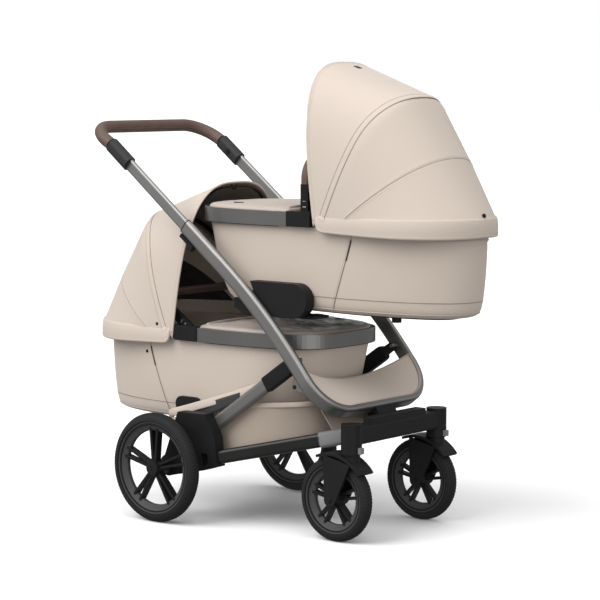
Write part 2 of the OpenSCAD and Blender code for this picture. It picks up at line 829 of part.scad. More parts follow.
module upper_adaptors() {
  bottom = rim_z - rim_h - tub_depth;
  out = frame_y - tube_t / 2 - gap;
  color("#232323")
    for (s = [-1, 1]) on_side(s) {
      plate(-joint_in + 2, -out) {
        link([joint_x - 97, bottom + 33], [joint_x - 7, bottom + 33], 43);
        polygon([[joint_x - 145, bottom + 76], [joint_x - 90, bottom + 76],
                 [joint_x - 90, bottom - 10], [joint_x - 97, bottom - 10]]);
      }
      translate([joint_x - 85, -joint_in + 1, bottom - 12]) cube([120, 60, 7]);
    }
}

module carry_line(lean) {
  translate([carry_x, 0, carry_z]) rotate([0, lean, 0]) children();
}

module carry_arms(lean) {
  color("#242424") carry_line(lean)
    for (s = [-1, 1]) on_side(s)
      translate([0, -carry_y + gap, 0]) rotate([90, 0, 0]) linear_extrude(carry_t, center = true)
        difference() {
          union() {
            circle(d = carry_w);
            translate([-carry_w / 2, 0]) square([carry_w, carry_arm_l]);
          }
          circle(d = hood_pin_d + 2 * run);
        }
}

module carry_grip(lean) {
  color("#6b554a") carry_line(lean) {
    for (s = [-1, 1]) on_side(s) {
      translate([0, -carry_y, carry_arm_l]) linear_extrude(carry_h - carry_r - carry_arm_l) oval(carry_w, carry_t + 2);
      translate([0, carry_r - carry_y, carry_h - carry_r]) rotate([90, 0, -90])
        rotate_extrude(angle = 90, $fn = 64) translate([carry_r, 0]) rotate(90) oval(carry_w, carry_t + 2);
    }
    translate([0, 0, carry_h])
      rotate([90, 0, 0]) linear_extrude(2 * (carry_y - carry_r), center = true) oval(carry_w, carry_t + 2);
  }
}

module hood() {
  color("#d8cbbd")
    strip_loft([for (k = [0:len(hood_bows) - 1]) strip(k, 0, hood_t)]);
}

// A bow is a flat hoop just under the fabric, with an eye on the hood's pivot
module hood_bow(k, layer, from, to, crown_in) {
  inset = hood_t + bow_gap + layer * (bow_t + bow_gap);
  b = hood_bows[k];
  rise = b[1] - b[0];
  function arc(i) = [for (j = [-arch_n:arch_n])
    let (u = 90 * j / arch_n)
    [(b[2] - i) * sgn_pow(sin(u), 2 / b[3]), (norm(rise) - i - crown_in) * pow(cos(u), 2 / b[3])]];
  color("#1f1f1f")
    difference() {
      union() {
        translate([b[0][0], 0, b[0][1]]) rotate([0, atan2(rise[0], rise[1]), 0])
          translate([from, 0, 0]) rotate([90, 0, 90]) linear_extrude(to - from)
            polygon(concat(arc(inset), reversed(arc(inset + bow_t))));
        for (s = [-1, 1]) on_side(s)
          translate([hood_x, inset - hood_w / 2 + 0.7, hood_z])
            rotate([-90, 0, 0]) cylinder(r = 12, h = bow_t - 1);
      }
      translate([hood_x, 0, hood_z])
        rotate([90, 0, 0]) cylinder(d = hood_pin_d + 2 * run, h = 500, center = true);
    }
}

module hood_front_bow() {
  hood_bow(0, 0, 1, 9, 8);
}

module hood_middle_bow() {
  hood_bow(1, 1, -6, 6, 9);
}

rear_axle();
rear_bracket();  // rear_bracket_right
on_side(1) rear_bracket();  // rear_bracket_left
lower_tube();  // lower_tube_right
on_side(1) lower_tube();  // lower_tube_left
front_beam();
basket();
basket_front();
lower_adaptors();
brake_pedal();
main_tube();
tube_bushes();
bow_hinge();
apron();
handle_tube();
handle_grip();
handle_collars();
button();  // button_right
on_side(1) button();  // button_left
latch();  // latch_right
on_side(1) latch();  // latch_left
leg();  // leg_right
on_side(1) leg();  // leg_left
leg_block();  // leg_block_right
on_side(1) leg_block();  // leg_block_left
fork();  // fork_right
on_side(1) fork();  // fork_left
swivel_lock();  // swivel_lock_right
on_side(1) swivel_lock();  // swivel_lock_left
front_wheel();  // front_wheel_right
on_side(1) front_wheel();  // front_wheel_left
front_tyre();  // front_tyre_right
on_side(1) front_tyre();  // front_tyre_left
rear_wheel();  // rear_wheel_right
on_side(1) rear_wheel();  // rear_wheel_left
rear_tyre();  // rear_tyre_right
on_side(1) rear_tyre();  // rear_tyre_left
tub();  // upper_tub
rim();  // upper_rim
joints();  // upper_joints
base();  // upper_base
mattress();  // upper_mattress
cover(0);  // upper_cover
upper_adaptors();
carry_arms(0);  // upper_carry_arms
carry_grip(0);  // upper_carry_grip
hood();  // upper_hood
hood_front_bow();  // upper_hood_front_bow
hood_middle_bow();  // upper_hood_middle_bow
turned() tub();  // lower_tub
turned() rim();  // lower_rim
turned() joints();  // lower_joints
turned() base();  // lower_base
turned() mattress();  // lower_mattress
turned() cover(4);  // lower_cover
turned() carry_arms(carry_lean);  // lower_carry_arms
turned() carry_grip(carry_lean);  // lower_carry_grip
turned() hood();  // lower_hood
turned() hood_front_bow();  // lower_hood_front_bow
turned() hood_middle_bow();  // lower_hood_middle_bow
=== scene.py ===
from math import pi, radians, tau

import bpy
import numpy as np
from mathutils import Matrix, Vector


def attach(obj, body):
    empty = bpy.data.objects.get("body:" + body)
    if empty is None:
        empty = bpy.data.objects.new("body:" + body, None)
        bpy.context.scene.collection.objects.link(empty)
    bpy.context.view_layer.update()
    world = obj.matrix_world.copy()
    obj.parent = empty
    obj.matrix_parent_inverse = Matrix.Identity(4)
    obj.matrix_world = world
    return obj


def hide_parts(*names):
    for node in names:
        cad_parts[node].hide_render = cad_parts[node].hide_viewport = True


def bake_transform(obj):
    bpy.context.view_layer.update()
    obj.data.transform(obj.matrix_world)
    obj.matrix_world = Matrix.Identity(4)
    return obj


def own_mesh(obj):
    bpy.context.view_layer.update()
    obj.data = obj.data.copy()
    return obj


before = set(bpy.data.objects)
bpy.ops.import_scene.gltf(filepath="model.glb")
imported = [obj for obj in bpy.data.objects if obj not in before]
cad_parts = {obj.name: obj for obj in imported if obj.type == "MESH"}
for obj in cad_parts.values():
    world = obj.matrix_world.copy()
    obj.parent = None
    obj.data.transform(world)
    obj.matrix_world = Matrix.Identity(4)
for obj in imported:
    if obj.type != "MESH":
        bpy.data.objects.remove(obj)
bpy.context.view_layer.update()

scene = bpy.context.scene
mm = 0.001

# The view: a long lens at about table height, off the pram's front right corner.
# Its place was worked out from the wheels and the two cots.
lens = bpy.data.cameras.new("photo_view")
lens.lens = 130.74
lens.sensor_width = 36
lens.sensor_fit = "HORIZONTAL"
camera = bpy.data.objects.new("photo_view", lens)
camera.location = (3.57306, -4.31296, 1.13043)
aim = Vector((0.0329, 0, 0.5661))
camera.rotation_euler = (aim - camera.location).to_track_quat("-Z", "Y").to_euler()
scene.collection.objects.link(camera)
scene.camera = camera


# Rear axle: a moulded beam of black glass-filled nylon between the two brackets,
# stiffened by close ribs round it, with the brake pedal hinged behind it.
class Shade:
    """A socket of a finish: operators on values add Math nodes, node() adds any other."""

    def __init__(self, tree, socket=None):
        self.tree = tree
        self.socket = socket

    def node(self, kind, settings=None, sockets=None, out=0):
        made = self.tree.nodes.new(kind)
        for key, value in (settings or {}).items():
            if key == "stops":
                stops = made.color_ramp.elements
                for k, (place, colour) in enumerate(value):
                    stop = stops[k] if k < 2 else stops.new(place)
                    stop.position = place
                    stop.color = (*colour, 1)
            else:
                setattr(made, key, value)
        for key, value in (sockets or {}).items():
            if isinstance(value, Shade):
                self.tree.links.new(value.socket, made.inputs[key])
            else:
                made.inputs[key].default_value = value
        return Shade(self.tree, made.outputs[out])

    def math(self, operation, a, b=0.0):
        return self.node("ShaderNodeMath", {"operation": operation}, {0: a, 1: b})

    def __add__(self, other):
        return self.math("ADD", self, other)

    def __sub__(self, other):
        return self.math("SUBTRACT", self, other)

    def __rsub__(self, other):
        return self.math("SUBTRACT", other, self)

    def __mul__(self, other):
        return self.math("MULTIPLY", self, other)

    __radd__ = __add__

    def noise(self, scale, detail=2):
        return self.node("ShaderNodeTexNoise", sockets={"Vector": self, "Scale": scale, "Detail": detail})

    def tint(self, low, high):
        return self.node("ShaderNodeMix", {"data_type": "RGBA"}, {0: self, 6: (*low, 1), 7: (*high, 1)}, 2)

    def into(self, shader, name):
        self.tree.links.new(self.socket, shader.inputs[name])

    def emboss(self, shader, strength, distance, edge=0):
        """Uses a height as relief, over edges rounded by a radius where one is given."""
        sockets = {"Strength": strength, "Distance": distance, "Height": self}
        if edge:
            sockets["Normal"] = self.node("ShaderNodeBevel", {"samples": 4}, {"Radius": edge})
        self.node("ShaderNodeBump", sockets=sockets).into(shader, "Normal")


def new_finish(name, **fixed):
    """A material with the fixed values of its shader set, the shader, and places on the piece."""
    made = bpy.data.materials.new(name)
    made.use_nodes = True
    shader = made.node_tree.nodes["Principled BSDF"]
    for key, value in fixed.items():
        shader.inputs[key.replace("_", " ").title().replace("Ior", "IOR")].default_value = value
    return made, shader, Shade(made.node_tree).node("ShaderNodeTexCoord", out="Object")


def moulded(name, dark, light, grain, rough):
    """Moulded plastic: a fine spark-eroded grain, slightly uneven gloss and rounded edges."""
    made, shader, place = new_finish(name, specular_ior_level=0.15)
    cloud = place.noise(16, 4)
    spark = place.noise(grain)
    (cloud * 0.6 + spark * 0.4).tint(dark, light).into(shader, "Base Color")
    (rough + cloud * 0.14 - spark * 0.06).into(shader, "Roughness")
    spark.emboss(shader, 0.25, 0.0002, edge=0.0016)
    return made


def dress(finish, *names):
    """Gives carried-over pieces their finish."""
    for name in names:
        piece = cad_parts[name]
        piece.data.materials.clear()
        piece.data.materials.append(finish)


def shape(name, points, faces, finishes, picks=None, uv=None, edges=()):
    """A smooth piece from points in mm, with a UV map in metres where the cloth needs one."""
    mesh = bpy.data.meshes.new(name)
    mesh.from_pydata((np.asarray(points, float) * mm).tolist(), edges, faces)
    for finish in finishes:
        mesh.materials.append(finish)
    if picks is not None:
        mesh.polygons.foreach_set("material_index", picks)
    mesh.polygons.foreach_set("use_smooth", [True] * len(mesh.polygons))
    if uv is not None:
        layer = mesh.uv_layers.new(name="cloth")
        corners = np.zeros(len(mesh.loops), int)
        mesh.loops.foreach_get("vertex_index", corners)
        layer.data.foreach_set("uv", np.asarray(uv, np.float32)[corners].ravel())
    mesh.update()
    piece = bpy.data.objects.new(name, mesh)
    scene.collection.objects.link(piece)
    return piece


def settle(piece):
    """Turns a piece and its modifiers into one plain mesh."""
    bpy.context.view_layer.update()
    made = bpy.data.meshes.new_from_object(piece.evaluated_get(bpy.context.evaluated_depsgraph_get()))
    piece.modifiers.clear()
    piece.data = made
    return piece


def fit(piece, body, slot, *stands_for):
    """Fixes a piece to its body and takes the place of the nodes it stands for; its slot is not used."""
    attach(piece, body)
    if stands_for:
        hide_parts(*stands_for)
    return piece


def new_tree(name, **inputs):
    """A geometry tree with named inputs: the tree, its input sockets and their identifiers."""
    tree = bpy.data.node_groups.new(name, "GeometryNodeTree")
    tree.interface.new_socket("Geometry", in_out="INPUT", socket_type="NodeSocketGeometry")
    named = {}
    for key, kind in inputs.items():
        socket = tree.interface.new_socket(key, in_out="INPUT", socket_type="NodeSocket" + kind)
        named[key] = socket.identifier
    tree.interface.new_socket("Geometry", in_out="OUTPUT", socket_type="NodeSocketGeometry")
    return tree, tree.nodes.new("NodeGroupInput").outputs, named


def step(tree, kind, sockets, **settings):
    """Adds one node to a geometry tree and gives its outputs."""
    made = tree.nodes.new(kind)
    for key, value in settings.items():
        setattr(made, key, value)
    for key, value in sockets.items():
        if isinstance(value, bpy.types.NodeSocket):
            tree.links.new(value, made.inputs[key])
        else:
            made.inputs[key].default_value = value
    return made.outputs


def end_tree(tree, copies, finish):
    """The last steps of each tree: copies on points, real meshes, their finish, and out."""
    placed = step(tree, "GeometryNodeInstanceOnPoints", copies)
    real = step(tree, "GeometryNodeRealizeInstances", {"Geometry": placed["Instances"]})
    done = step(tree, "GeometryNodeSetMaterial", {"Geometry": real["Geometry"], "Material": finish})
    step(tree, "NodeGroupOutput", {"Geometry": done["Geometry"]})


def run_tree(piece, made, **values):
    """Runs a tree on a piece with its inputs set, and keeps the result as a plain mesh."""
    tree, _, named = made
    work = piece.modifiers.new(tree.name, "NODES")
    work.node_group = tree
    for key, value in values.items():
        work[named[key]] = value
    return settle(piece)


def row_tree():
    """Copies of a piece in a straight row."""
    made = new_tree("row", Count="Int", Step="Vector", Finish="Material")
    tree, given, _ = made
    line = step(tree, "GeometryNodeMeshLine", {"Count": given["Count"], "Offset": given["Step"]})
    end_tree(tree, {"Points": line["Mesh"], "Instance": given["Geometry"]}, given["Finish"])
    return made


def join(*measures):
    """Rows of points from their measures, each a list or one number."""
    return np.stack(np.broadcast_arrays(*measures), -1)


def oval(length, width, count=24):
    """A flat oval outline, long along the first axis; no point lies just between its two ends."""
    turn = np.arange(count) * tau / count + 1e-6
    ends = np.sign(np.cos(turn)) * (length - width) / 2
    return join(ends + width / 2 * np.cos(turn), width / 2 * np.sin(turn))


def loft(name, rings, *finishes, closed=False, picks=None, uv=None):
    """A form through rings of points: the last ring meets the first, or both are capped."""
    rings = np.asarray(rings, float)
    rows, count = rings.shape[:2]
    faces = []
    for i in range(rows if closed else rows - 1):
        here, there = i * count, (i + 1) % rows * count
        for j in range(count):
            k = (j + 1) % count
            faces.append((here + j, here + k, there + k, there + j))
    if not closed:
        faces.append(tuple(range(count))[::-1])
        faces.append(tuple(range((rows - 1) * count, rows * count)))
    return shape(name, rings.reshape(-1, 3), faces, finishes, picks, uv)


sides = (("right", -1), ("left", 1))
black_plastic = moulded("black_plastic", (0.0065, 0.0065, 0.007), (0.0135, 0.0135, 0.014), 1400, 0.44)
dress(black_plastic, "rear_axle", "brake_pedal", "rear_bracket_right", "rear_bracket_left")

rear_axle_x, rear_axle_z = -214, 141
beam_long, beam_tall = 36, 30
rib_count, rib_gap, first_rib_y = 42, 8.1, -166
rib_levels = [(-1.6, 0.4), (-1.0, 1.5), (1.0, 1.5), (1.6, 0.4)]
rib = [np.insert(oval(beam_long + 2 * out, beam_tall + 2 * out), 1, y, axis=1) for y, out in rib_levels]
ribs = loft("axle_ribs", np.array(rib) + (rear_axle_x, first_rib_y, rear_axle_z), black_plastic)
ribs.data.flip_normals()
run_tree(ribs, row_tree(), Count=rib_count, Step=(0, rib_gap * mm, 0), Finish=black_plastic)
fit(ribs, "chassis", "black_plastic")


# Lower side tubes: drawn oval aluminium, anodised dark, pushed into the brackets,
# each with a paler plastic sleeve near the front beam.
def anodised(name, dark, light, rough):
    """Drawn and anodised aluminium: a satin metal with faint drawing streaks."""
    made, shader, place = new_finish(name, metallic=0.85)
    cloud = place.noise(9, 3)
    fine = place.noise(700)
    (cloud * 0.5 + fine * 0.5).tint(dark, light).into(shader, "Base Color")
    (rough + cloud * 0.08 + fine * 0.06).into(shader, "Roughness")
    fine.emboss(shader, 0.06, 0.0001, edge=0.0008)
    return made


grey_tube = anodised("grey_tube", (0.195, 0.191, 0.185), (0.262, 0.257, 0.248), 0.32)
dark_tube = anodised("dark_tube", (0.026, 0.026, 0.025), (0.044, 0.043, 0.042), 0.26)
grey_plastic = moulded("grey_plastic", (0.16, 0.16, 0.16), (0.22, 0.22, 0.22), 1200, 0.45)
dress(dark_tube, "lower_tube_right", "lower_tube_left")


def unit(v):
    """A direction, or each of a list of them, at length one."""
    v = np.asarray(v, float)
    return v / np.linalg.norm(v, axis=-1, keepdims=True)


def lengths(points):
    """The length along a line up to each of its points."""
    return np.insert(np.cumsum(np.linalg.norm(np.diff(points, axis=0), axis=1)), 0, 0)


def sweep(name, path, section, finish, body=None, slot=None, up=(0, 0, 1), closed=False):
    """A bar of one section along a path in mm; the section's first axis leans towards up."""
    path = np.asarray(path, float)
    if closed:
        along = unit(np.roll(path, -1, 0) - np.roll(path, 1, 0))
    else:
        along = unit(np.gradient(path, axis=0))
    side = unit(np.cross(along, up))
    top = np.cross(side, along)
    rings = path[:, None] + section[None, :, :1] * top[:, None] + section[None, :, 1:] * side[:, None]
    uv = join(lengths(path)[:, None], lengths(section)).reshape(-1, 2) * mm
    piece = loft(name, rings, finish, closed=closed, uv=uv)
    return fit(piece, body, slot) if body else piece


low_rear = np.array([-60, 222, 175.0])
low_front = np.array([320, 122, 263.0])
sleeve_marks = [(0.735, 37, 19), (0.738, 39.5, 21.5), (0.745, 41, 23),
                (0.895, 41, 23), (0.902, 39.5, 21.5), (0.905, 37, 19)]
for side, y in sides:
    rear, front = low_rear * (1, y, 1), low_front * (1, y, 1)
    forward = unit(front - rear)
    sideways = unit(np.cross(forward, (0, 0, 1)))
    lift = np.cross(sideways, forward)
    rings = []
    for share, tall, wide in sleeve_marks:
        rings.append(rear + share * (front - rear) + oval(tall, wide) @ np.stack([lift, sideways]))
    fit(loft("tube_sleeve_" + side, rings, grey_plastic), "chassis", "grey_plastic")

# Front beam: a black moulded beam with a raised housing and two caster sockets.
# The cot adaptors behind it are black mouldings screwed to the axle.
dress(black_plastic, "front_beam", "lower_adaptors", "bow_hinge", "tube_bushes")

# Wheels: black nylon wheels with five twin-rib spokes, a dark grey dished rim and foamed rubber
# tyres, on stub axles at the rear and in swivelling black forks at the front.
wheel_grey = moulded("wheel_grey", (0.040, 0.040, 0.041), (0.060, 0.060, 0.061), 1000, 0.42)
tyre_rubber = moulded("tyre_rubber", (0.010, 0.010, 0.0105), (0.019, 0.019, 0.0195), 500, 0.62)
wheels = {
    "rear": (rear_axle_x, 280.5, rear_axle_z, 141, 21, 39),
    "front": (294, 176.5, 106, 106, 19, 36),
}


def lathe(name, profile, centre, finish, count=96):
    """A turned ring about a wheel's axle: a closed profile of radius and place along the axle."""
    turn = np.arange(count) * tau / count
    rings = [join(r * np.cos(turn), y, r * np.sin(turn)) + centre for r, y in profile]
    return loft(name, rings, finish, closed=True)


def tread_tree():
    """Copies of a piece round an axle that lies along Y."""
    made = new_tree("tread", Count="Int", Middle="Vector", Finish="Material")
    tree, given, _ = made
    spots = step(tree, "GeometryNodePoints", {"Count": given["Count"], "Position": given["Middle"]})[0]
    index = step(tree, "GeometryNodeInputIndex", {})["Index"]
    share = step(tree, "ShaderNodeMath", {0: index, 1: given["Count"]}, operation="DIVIDE")[0]
    angle = step(tree, "ShaderNodeMath", {0: share, 1: tau}, operation="MULTIPLY")[0]
    angle = step(tree, "ShaderNodeCombineXYZ", {"Y": angle})["Vector"]
    end_tree(tree, {"Points": spots, "Instance": given["Geometry"], "Rotation": angle}, given["Finish"])
    return made


def tread_rib(name, radius, tyre_w):
    """One raised rib across a tyre, low at the middle and swept back to each shoulder."""
    across = np.linspace(-0.36, 0.36, 9) * tyre_w
    surface = radius - tyre_w / 2 + np.sqrt((tyre_w / 2) ** 2 - across ** 2)
    proud = 0.9 * np.minimum(np.abs(across) / 5, 1) - 0.2
    swept = 0.3 * np.abs(across)
    section = ((-1.7, -1.5), (-1.3, proud), (1.3, proud), (1.7, -1.5))
    rings = np.stack([join(swept + d, across, surface + h) for d, h in section], 1)
    return loft(name, rings, tyre_rubber)


tread, tread_gap = tread_tree(), 8.5
for side, sign in sides:
    for end, (x, y, z, radius, tyre_h, tyre_w) in wheels.items():
        body = end + "_wheel_" + side
        centre = np.array([x, sign * y, z])
        ribs = tread_rib(end + "_tread_" + side, radius, tyre_w)
        count = round(tau * radius / tread_gap)
        run_tree(ribs, tread, Count=count, Middle=(centre * mm).tolist(), Finish=tyre_rubber)
        fit(ribs, body, "tyre")
        dress(black_plastic, body)
        dress(tyre_rubber, end + "_tyre_" + side)
        seat, half = radius - tyre_h - 0.1, 0.4 * tyre_w + 0.7
        dish = [(seat, half - 1), (seat - 0.8, half), (seat - 4, half), (seat - 5.5, half - 1.5),
                (seat - 19, 7.5), (seat - 22.5, 6.5), (seat - 24, 4)]
        dish += [(r, -out) for r, out in dish[::-1]]
        fit(lathe(end + "_rim_" + side, dish, centre, wheel_grey), body, "wheel")
    dress(black_plastic, "fork_" + side)
    dress(grey_plastic, "swivel_lock_" + side)

# Folding frame: one bent oval tube down both sides and round the front, with rear legs
# of the same tube on pins, black end blocks and a fold latch on each side.
dress(grey_tube, "main_tube")
frame_y = 217


def power(v, p):
    """A power that keeps the sign."""
    return np.sign(v) * np.abs(v) ** p


def snap(name, spot, out, radius, finish):
    """A press stud: a low dome on a flange."""
    out = unit(out)
    side = unit(np.cross(out, (0.3, 0.5, 0.8)))
    turn = np.arange(20) * tau / 20
    circle = np.outer(np.cos(turn), side) + np.outer(np.sin(turn), np.cross(out, side))
    dome = [(1, -0.3), (1, 0.15), (0.93, 0.28), (0.72, 0.30), (0.60, 0.42), (0.30, 0.50), (0.02, 0.52)]
    return loft(name, [spot + radius * (h * out + r * circle) for r, h in dome], finish)


def plate(name, outline, inner_y, outer_y, finish):
    """A flat moulding from an outline of x and z, with a small chamfer round both faces."""
    first_y, last_y = sorted((inner_y, outer_y))
    outline = np.asarray(outline, float)
    middle = outline.mean(0)
    rings = []
    for y, share in ((first_y, 0.95), (first_y + 1, 1), (last_y - 1, 1), (last_y, 0.95)):
        rings.append(np.insert((outline - middle) * share + middle, 1, y, axis=1))
    made = loft(name, rings, finish)
    made.data.polygons.foreach_set("use_smooth", [False] * len(made.data.polygons))
    return made


leg_foot, leg_pin, leg_y = np.array([-115, 0, 235.0]), np.array([187.6, 0, 441.8]), 194
leg_way = unit(leg_pin - leg_foot)
leg_rise = np.array([-leg_way[2], 0, leg_way[0]])
block_corner = 0.3
block_marks = [(240.5, 36, 17), (241.5, 39.5, 20), (244, 41, 21), (322, 41, 21), (329, 39, 20.6),
               (333.5, 35, 20), (336, 29, 18), (337, 24, 15), (364, 22, 14), (366, 18, 11)]
slope_down = unit((0.618, 0, -0.786))
slope_in = np.array([slope_down[2], 0, -slope_down[0]])
lug_at, lug_deep, lug_r, lug_half = 56, 29, 10, 6
lug_turn = np.radians(np.linspace(155, 25, 12))
lug = [(lug_at + lug_r * np.cos(a), lug_deep + lug_r * np.sin(a)) for a in lug_turn]
lug = [(28, 14)] + lug + [(86, 14)]
block_turn = (np.arange(32) + 0.5) * tau / 32
for side, y in sides:
    dress(grey_tube, "leg_" + side)
    dress(black_plastic, "latch_" + side, "button_" + side)
    rings = []
    for along, high, wide in block_marks:
        flat = np.outer(high / 2 * power(np.cos(block_turn), block_corner), leg_rise)
        flat[:, 1] = wide / 2 * power(np.sin(block_turn), block_corner)
        rings.append(leg_foot + along * leg_way + (0, y * leg_y, 0) + flat)
    block = loft("leg_end_" + side, rings, black_plastic)
    block.data.flip_normals()
    fit(block, "leg_" + side, "black_plastic", "leg_block_" + side)
    outline = [(leg_pin + a * slope_down + b * slope_in)[[0, 2]] for a, b in lug]
    inner_y, outer_y = y * (frame_y - lug_half), y * (frame_y + lug_half)
    fit(plate("tube_lug_" + side, outline, inner_y, outer_y, grey_tube), "main_frame", "grey_tube")
    pin_at = leg_pin + lug_at * slope_down + (lug_deep + 1) * slope_in + (0, outer_y, 0)
    fit(snap("lug_pin_" + side, pin_at, (0, y, 0), 5.5, black_plastic), "main_frame", "black_plastic")

# Handle: paler inner tubes slide in the frame; black collars hold a U of tube
# that is wrapped in brown leather, sewn along its inner side.
silver_tube = anodised("silver_tube", (0.205, 0.203, 0.198), (0.27, 0.267, 0.26), 0.34)
dress(silver_tube, "handle_tube")
# Painted highlight: the collars are moulded paler than the black plastic, standing in for the gloss on them.
collar_black_painted_highlight = moulded("collar_black_painted_highlight", (0.020, 0.0205, 0.0205), (0.034, 0.0345, 0.034), 1400, 0.42)
dress(collar_black_painted_highlight, "handle_collars")


def leather_finish():
    """Brown full-grain leather: pebbled grain, darker in the creases."""
    made, shader, place = new_finish("leather")
    pebble = {"Vector": place, "Scale": 700}
    pebble = place.node("ShaderNodeTexVoronoi", {"feature": "DISTANCE_TO_EDGE"}, pebble)
    cloud = place.noise(35, 5)
    crease = place.math("MINIMUM", pebble * 6.0, 1.0)
    hide = (cloud * 0.7 + crease * 0.3).tint((0.066, 0.038, 0.030), (0.130, 0.080, 0.064))
    hide.into(shader, "Base Color")
    (0.62 - crease * 0.14 + cloud * 0.1).into(shader, "Roughness")
    (crease + cloud * 0.5).emboss(shader, 0.35, 0.0004)
    return made


leather = leather_finish()
dress(leather, "handle_grip")


def thread(name, dark, light):
    """Sewing thread: a twisted yarn, matt and slightly uneven."""
    made, shader, place = new_finish(name, roughness=0.7)
    place.noise(1800).tint(dark, light).into(shader, "Base Color")
    return made


def stitch_tree():
    """Small grains of thread along edges."""
    made = new_tree("stitch", Pitch="Float", Length="Float", Thick="Float", Finish="Material")
    tree, given, _ = made
    line = step(tree, "GeometryNodeMeshToCurve", {"Mesh": given["Geometry"]})["Curve"]
    line = {"Curve": line, "Length": given["Pitch"]}
    spots = step(tree, "GeometryNodeCurveToPoints", line, mode="LENGTH")
    grain = step(tree, "GeometryNodeMeshIcoSphere", {"Radius": 0.5, "Subdivisions": 1})["Mesh"]
    way = {"Vector": spots["Tangent"]}
    along = step(tree, "FunctionNodeAlignRotationToVector", way, axis="X")["Rotation"]
    girth = {"X": given["Length"], "Y": given["Thick"], "Z": given["Thick"]}
    girth = step(tree, "ShaderNodeCombineXYZ", girth)["Vector"]
    sewn = {"Points": spots["Points"], "Instance": grain, "Rotation": along, "Scale": girth}
    end_tree(tree, sewn, given["Finish"])
    return made


stitch = stitch_tree()


def sew(name, lines, finish, pitch=3.4, length=2.5, thick=0.9):
    """Rows of stitches along lines of points in mm."""
    edges = []
    first = 0
    for line in lines:
        edges += [(first + i, first + i + 1) for i in range(len(line) - 1)]
        first += len(line)
    piece = shape(name, np.concatenate(lines), [], [], edges=edges)
    return run_tree(piece, stitch, Pitch=pitch * mm, Length=length * mm, Thick=thick * mm, Finish=finish)


def arch(foot, reach, half, radius):
    """A flat U from right to left: how far out, across, and the way in, for each point."""
    turn = np.linspace(0, pi / 2, 13)
    out = np.concatenate([[foot], reach - radius + radius * np.sin(turn)])
    side = np.concatenate([[half], half - radius + radius * np.cos(turn)])
    way_in = np.concatenate([[(0, -1)], join(-np.sin(turn), -np.cos(turn))])
    out = np.concatenate([out, out[::-1]])
    side = np.concatenate([-side, side[::-1]])
    way_in = np.concatenate([way_in * (1, -1), way_in[::-1]])
    return out, side, way_in


def spread(points, count):
    """The same line with a number of points at an even pitch."""
    run = lengths(points)
    even = np.linspace(0, run[-1], count)
    return np.stack([np.interp(even, run, points[:, a]) for a in range(3)], 1)


def evenly(points, pitch):
    """The same line with points at about a pitch."""
    return spread(points, int(lengths(points)[-1] / pitch) + 2)


def grip_seam(name, body, origin, outward, upward, foot, reach, half, radius, deep, apart):
    """A closed seam along the inner side of a leather grip, with a row of stitches each side."""
    out, side, way_in = arch(foot, reach, half, radius)
    middle = np.outer(out + deep * way_in[:, 0], outward) + np.outer(side + deep * way_in[:, 1], (0, 1, 0))
    middle = middle + origin
    path = evenly(middle - 0.3 * np.outer(way_in[:, 0], outward), 6)
    sweep(name + "_seam", path, oval(1.7, 1.3, 8), dark_seam_and_slit_shade, body, "leather", up=upward)
    rows = [evenly(middle + np.asarray(upward) * d, 3) for d in (-apart, apart)]
    fit(sew(name + "_stitches", rows, leather_thread, 5.2, 3.6, 1.1), body, "leather")


leather_thread = thread("leather_thread", (0.20, 0.15, 0.12), (0.34, 0.27, 0.22))
# Dark thread for the grip's seam, also used as painted shade for the open slit in each cot's side seam.
dark_seam_and_slit_shade = thread("leather_seam_and_slit_shade", (0.030, 0.017, 0.013), (0.055, 0.033, 0.026))
handle_slope = radians(29)
handle_out = np.array([-np.cos(handle_slope), 0, np.sin(handle_slope)])
handle_up = np.array([np.sin(handle_slope), 0, np.cos(handle_slope)])
handle_foot = np.array([-424.04, 0, 961.17])
grip_seam("handle_grip", "handle", handle_foot, handle_out, handle_up,
          foot=6, reach=92, half=frame_y, radius=75, deep=16.4, apart=2.6)


# Cot bodies: padded walls of beige woven cloth over a shell, lined with the same cloth.
# A piped seam runs round the bottom edge, and a slanting seam down each side.
def woven(name, dark, light, pitch, rough, relief, sheen=0.15):
    """Plain-woven cloth on its own UV map in metres: warp and weft, slubs and soft wear."""
    made, shader, place = new_finish(name, sheen_weight=sheen, sheen_roughness=0.5)
    cloth = place.node("ShaderNodeUVMap", {"uv_map": "cloth"})
    along = place.node("ShaderNodeSeparateXYZ", sockets={0: cloth})
    across = Shade(along.tree, along.socket.node.outputs[1])
    warp = place.math("SINE", along * (tau / pitch))
    weft = place.math("SINE", across * (tau / pitch))
    weave = warp * weft * 0.5 + 0.5
    slub = cloth.noise(260, 3)
    cloud = place.noise(7, 3)
    (weave * 0.35 + slub * 0.35 + cloud * 0.3).tint(dark, light).into(shader, "Base Color")
    (rough + slub * 0.12).into(shader, "Roughness")
    (weave * 0.7 + slub * 0.6).emboss(shader, relief, 0.0003)
    return made


beige_cloth = woven("beige_cloth", (0.455, 0.384, 0.326), (0.555, 0.481, 0.419), 0.0009, 0.66, 0.25)
brown_lining = woven("brown_lining", (0.140, 0.108, 0.086), (0.235, 0.186, 0.150), 0.0011, 0.7, 0.3)
beige_lining = woven("beige_lining", (0.33, 0.265, 0.215), (0.43, 0.355, 0.295), 0.0010, 0.7, 0.3)
cot_x, cot_y, head_l, foot_l, lip_z = 185, 195, 422, 393, 771
tub_deep, tub_rise, head_round, foot_round, cot_drop = 216, 14, 2.2, 3.5, 309


def cot_bottom(x):
    """How far the bottom lies below the lip."""
    return tub_deep - tub_rise * (cot_x + head_l - x) / (foot_l + head_l)


def cot_ring(inset, foot_in, deep, count=160):
    """An outline of the cot at a share of its depth: round at the head, squarer at the foot."""
    turn = np.arange(count) * tau / count
    c, s = np.cos(turn), np.sin(turn)
    p = np.where(c > 0, 2 / head_round, 2 / foot_round)
    x = cot_x + np.where(c > 0, head_l - inset, foot_l - inset - foot_in) * power(c, p)
    return join(x, (cot_y - inset) * power(s, p), lip_z - deep * cot_bottom(x))


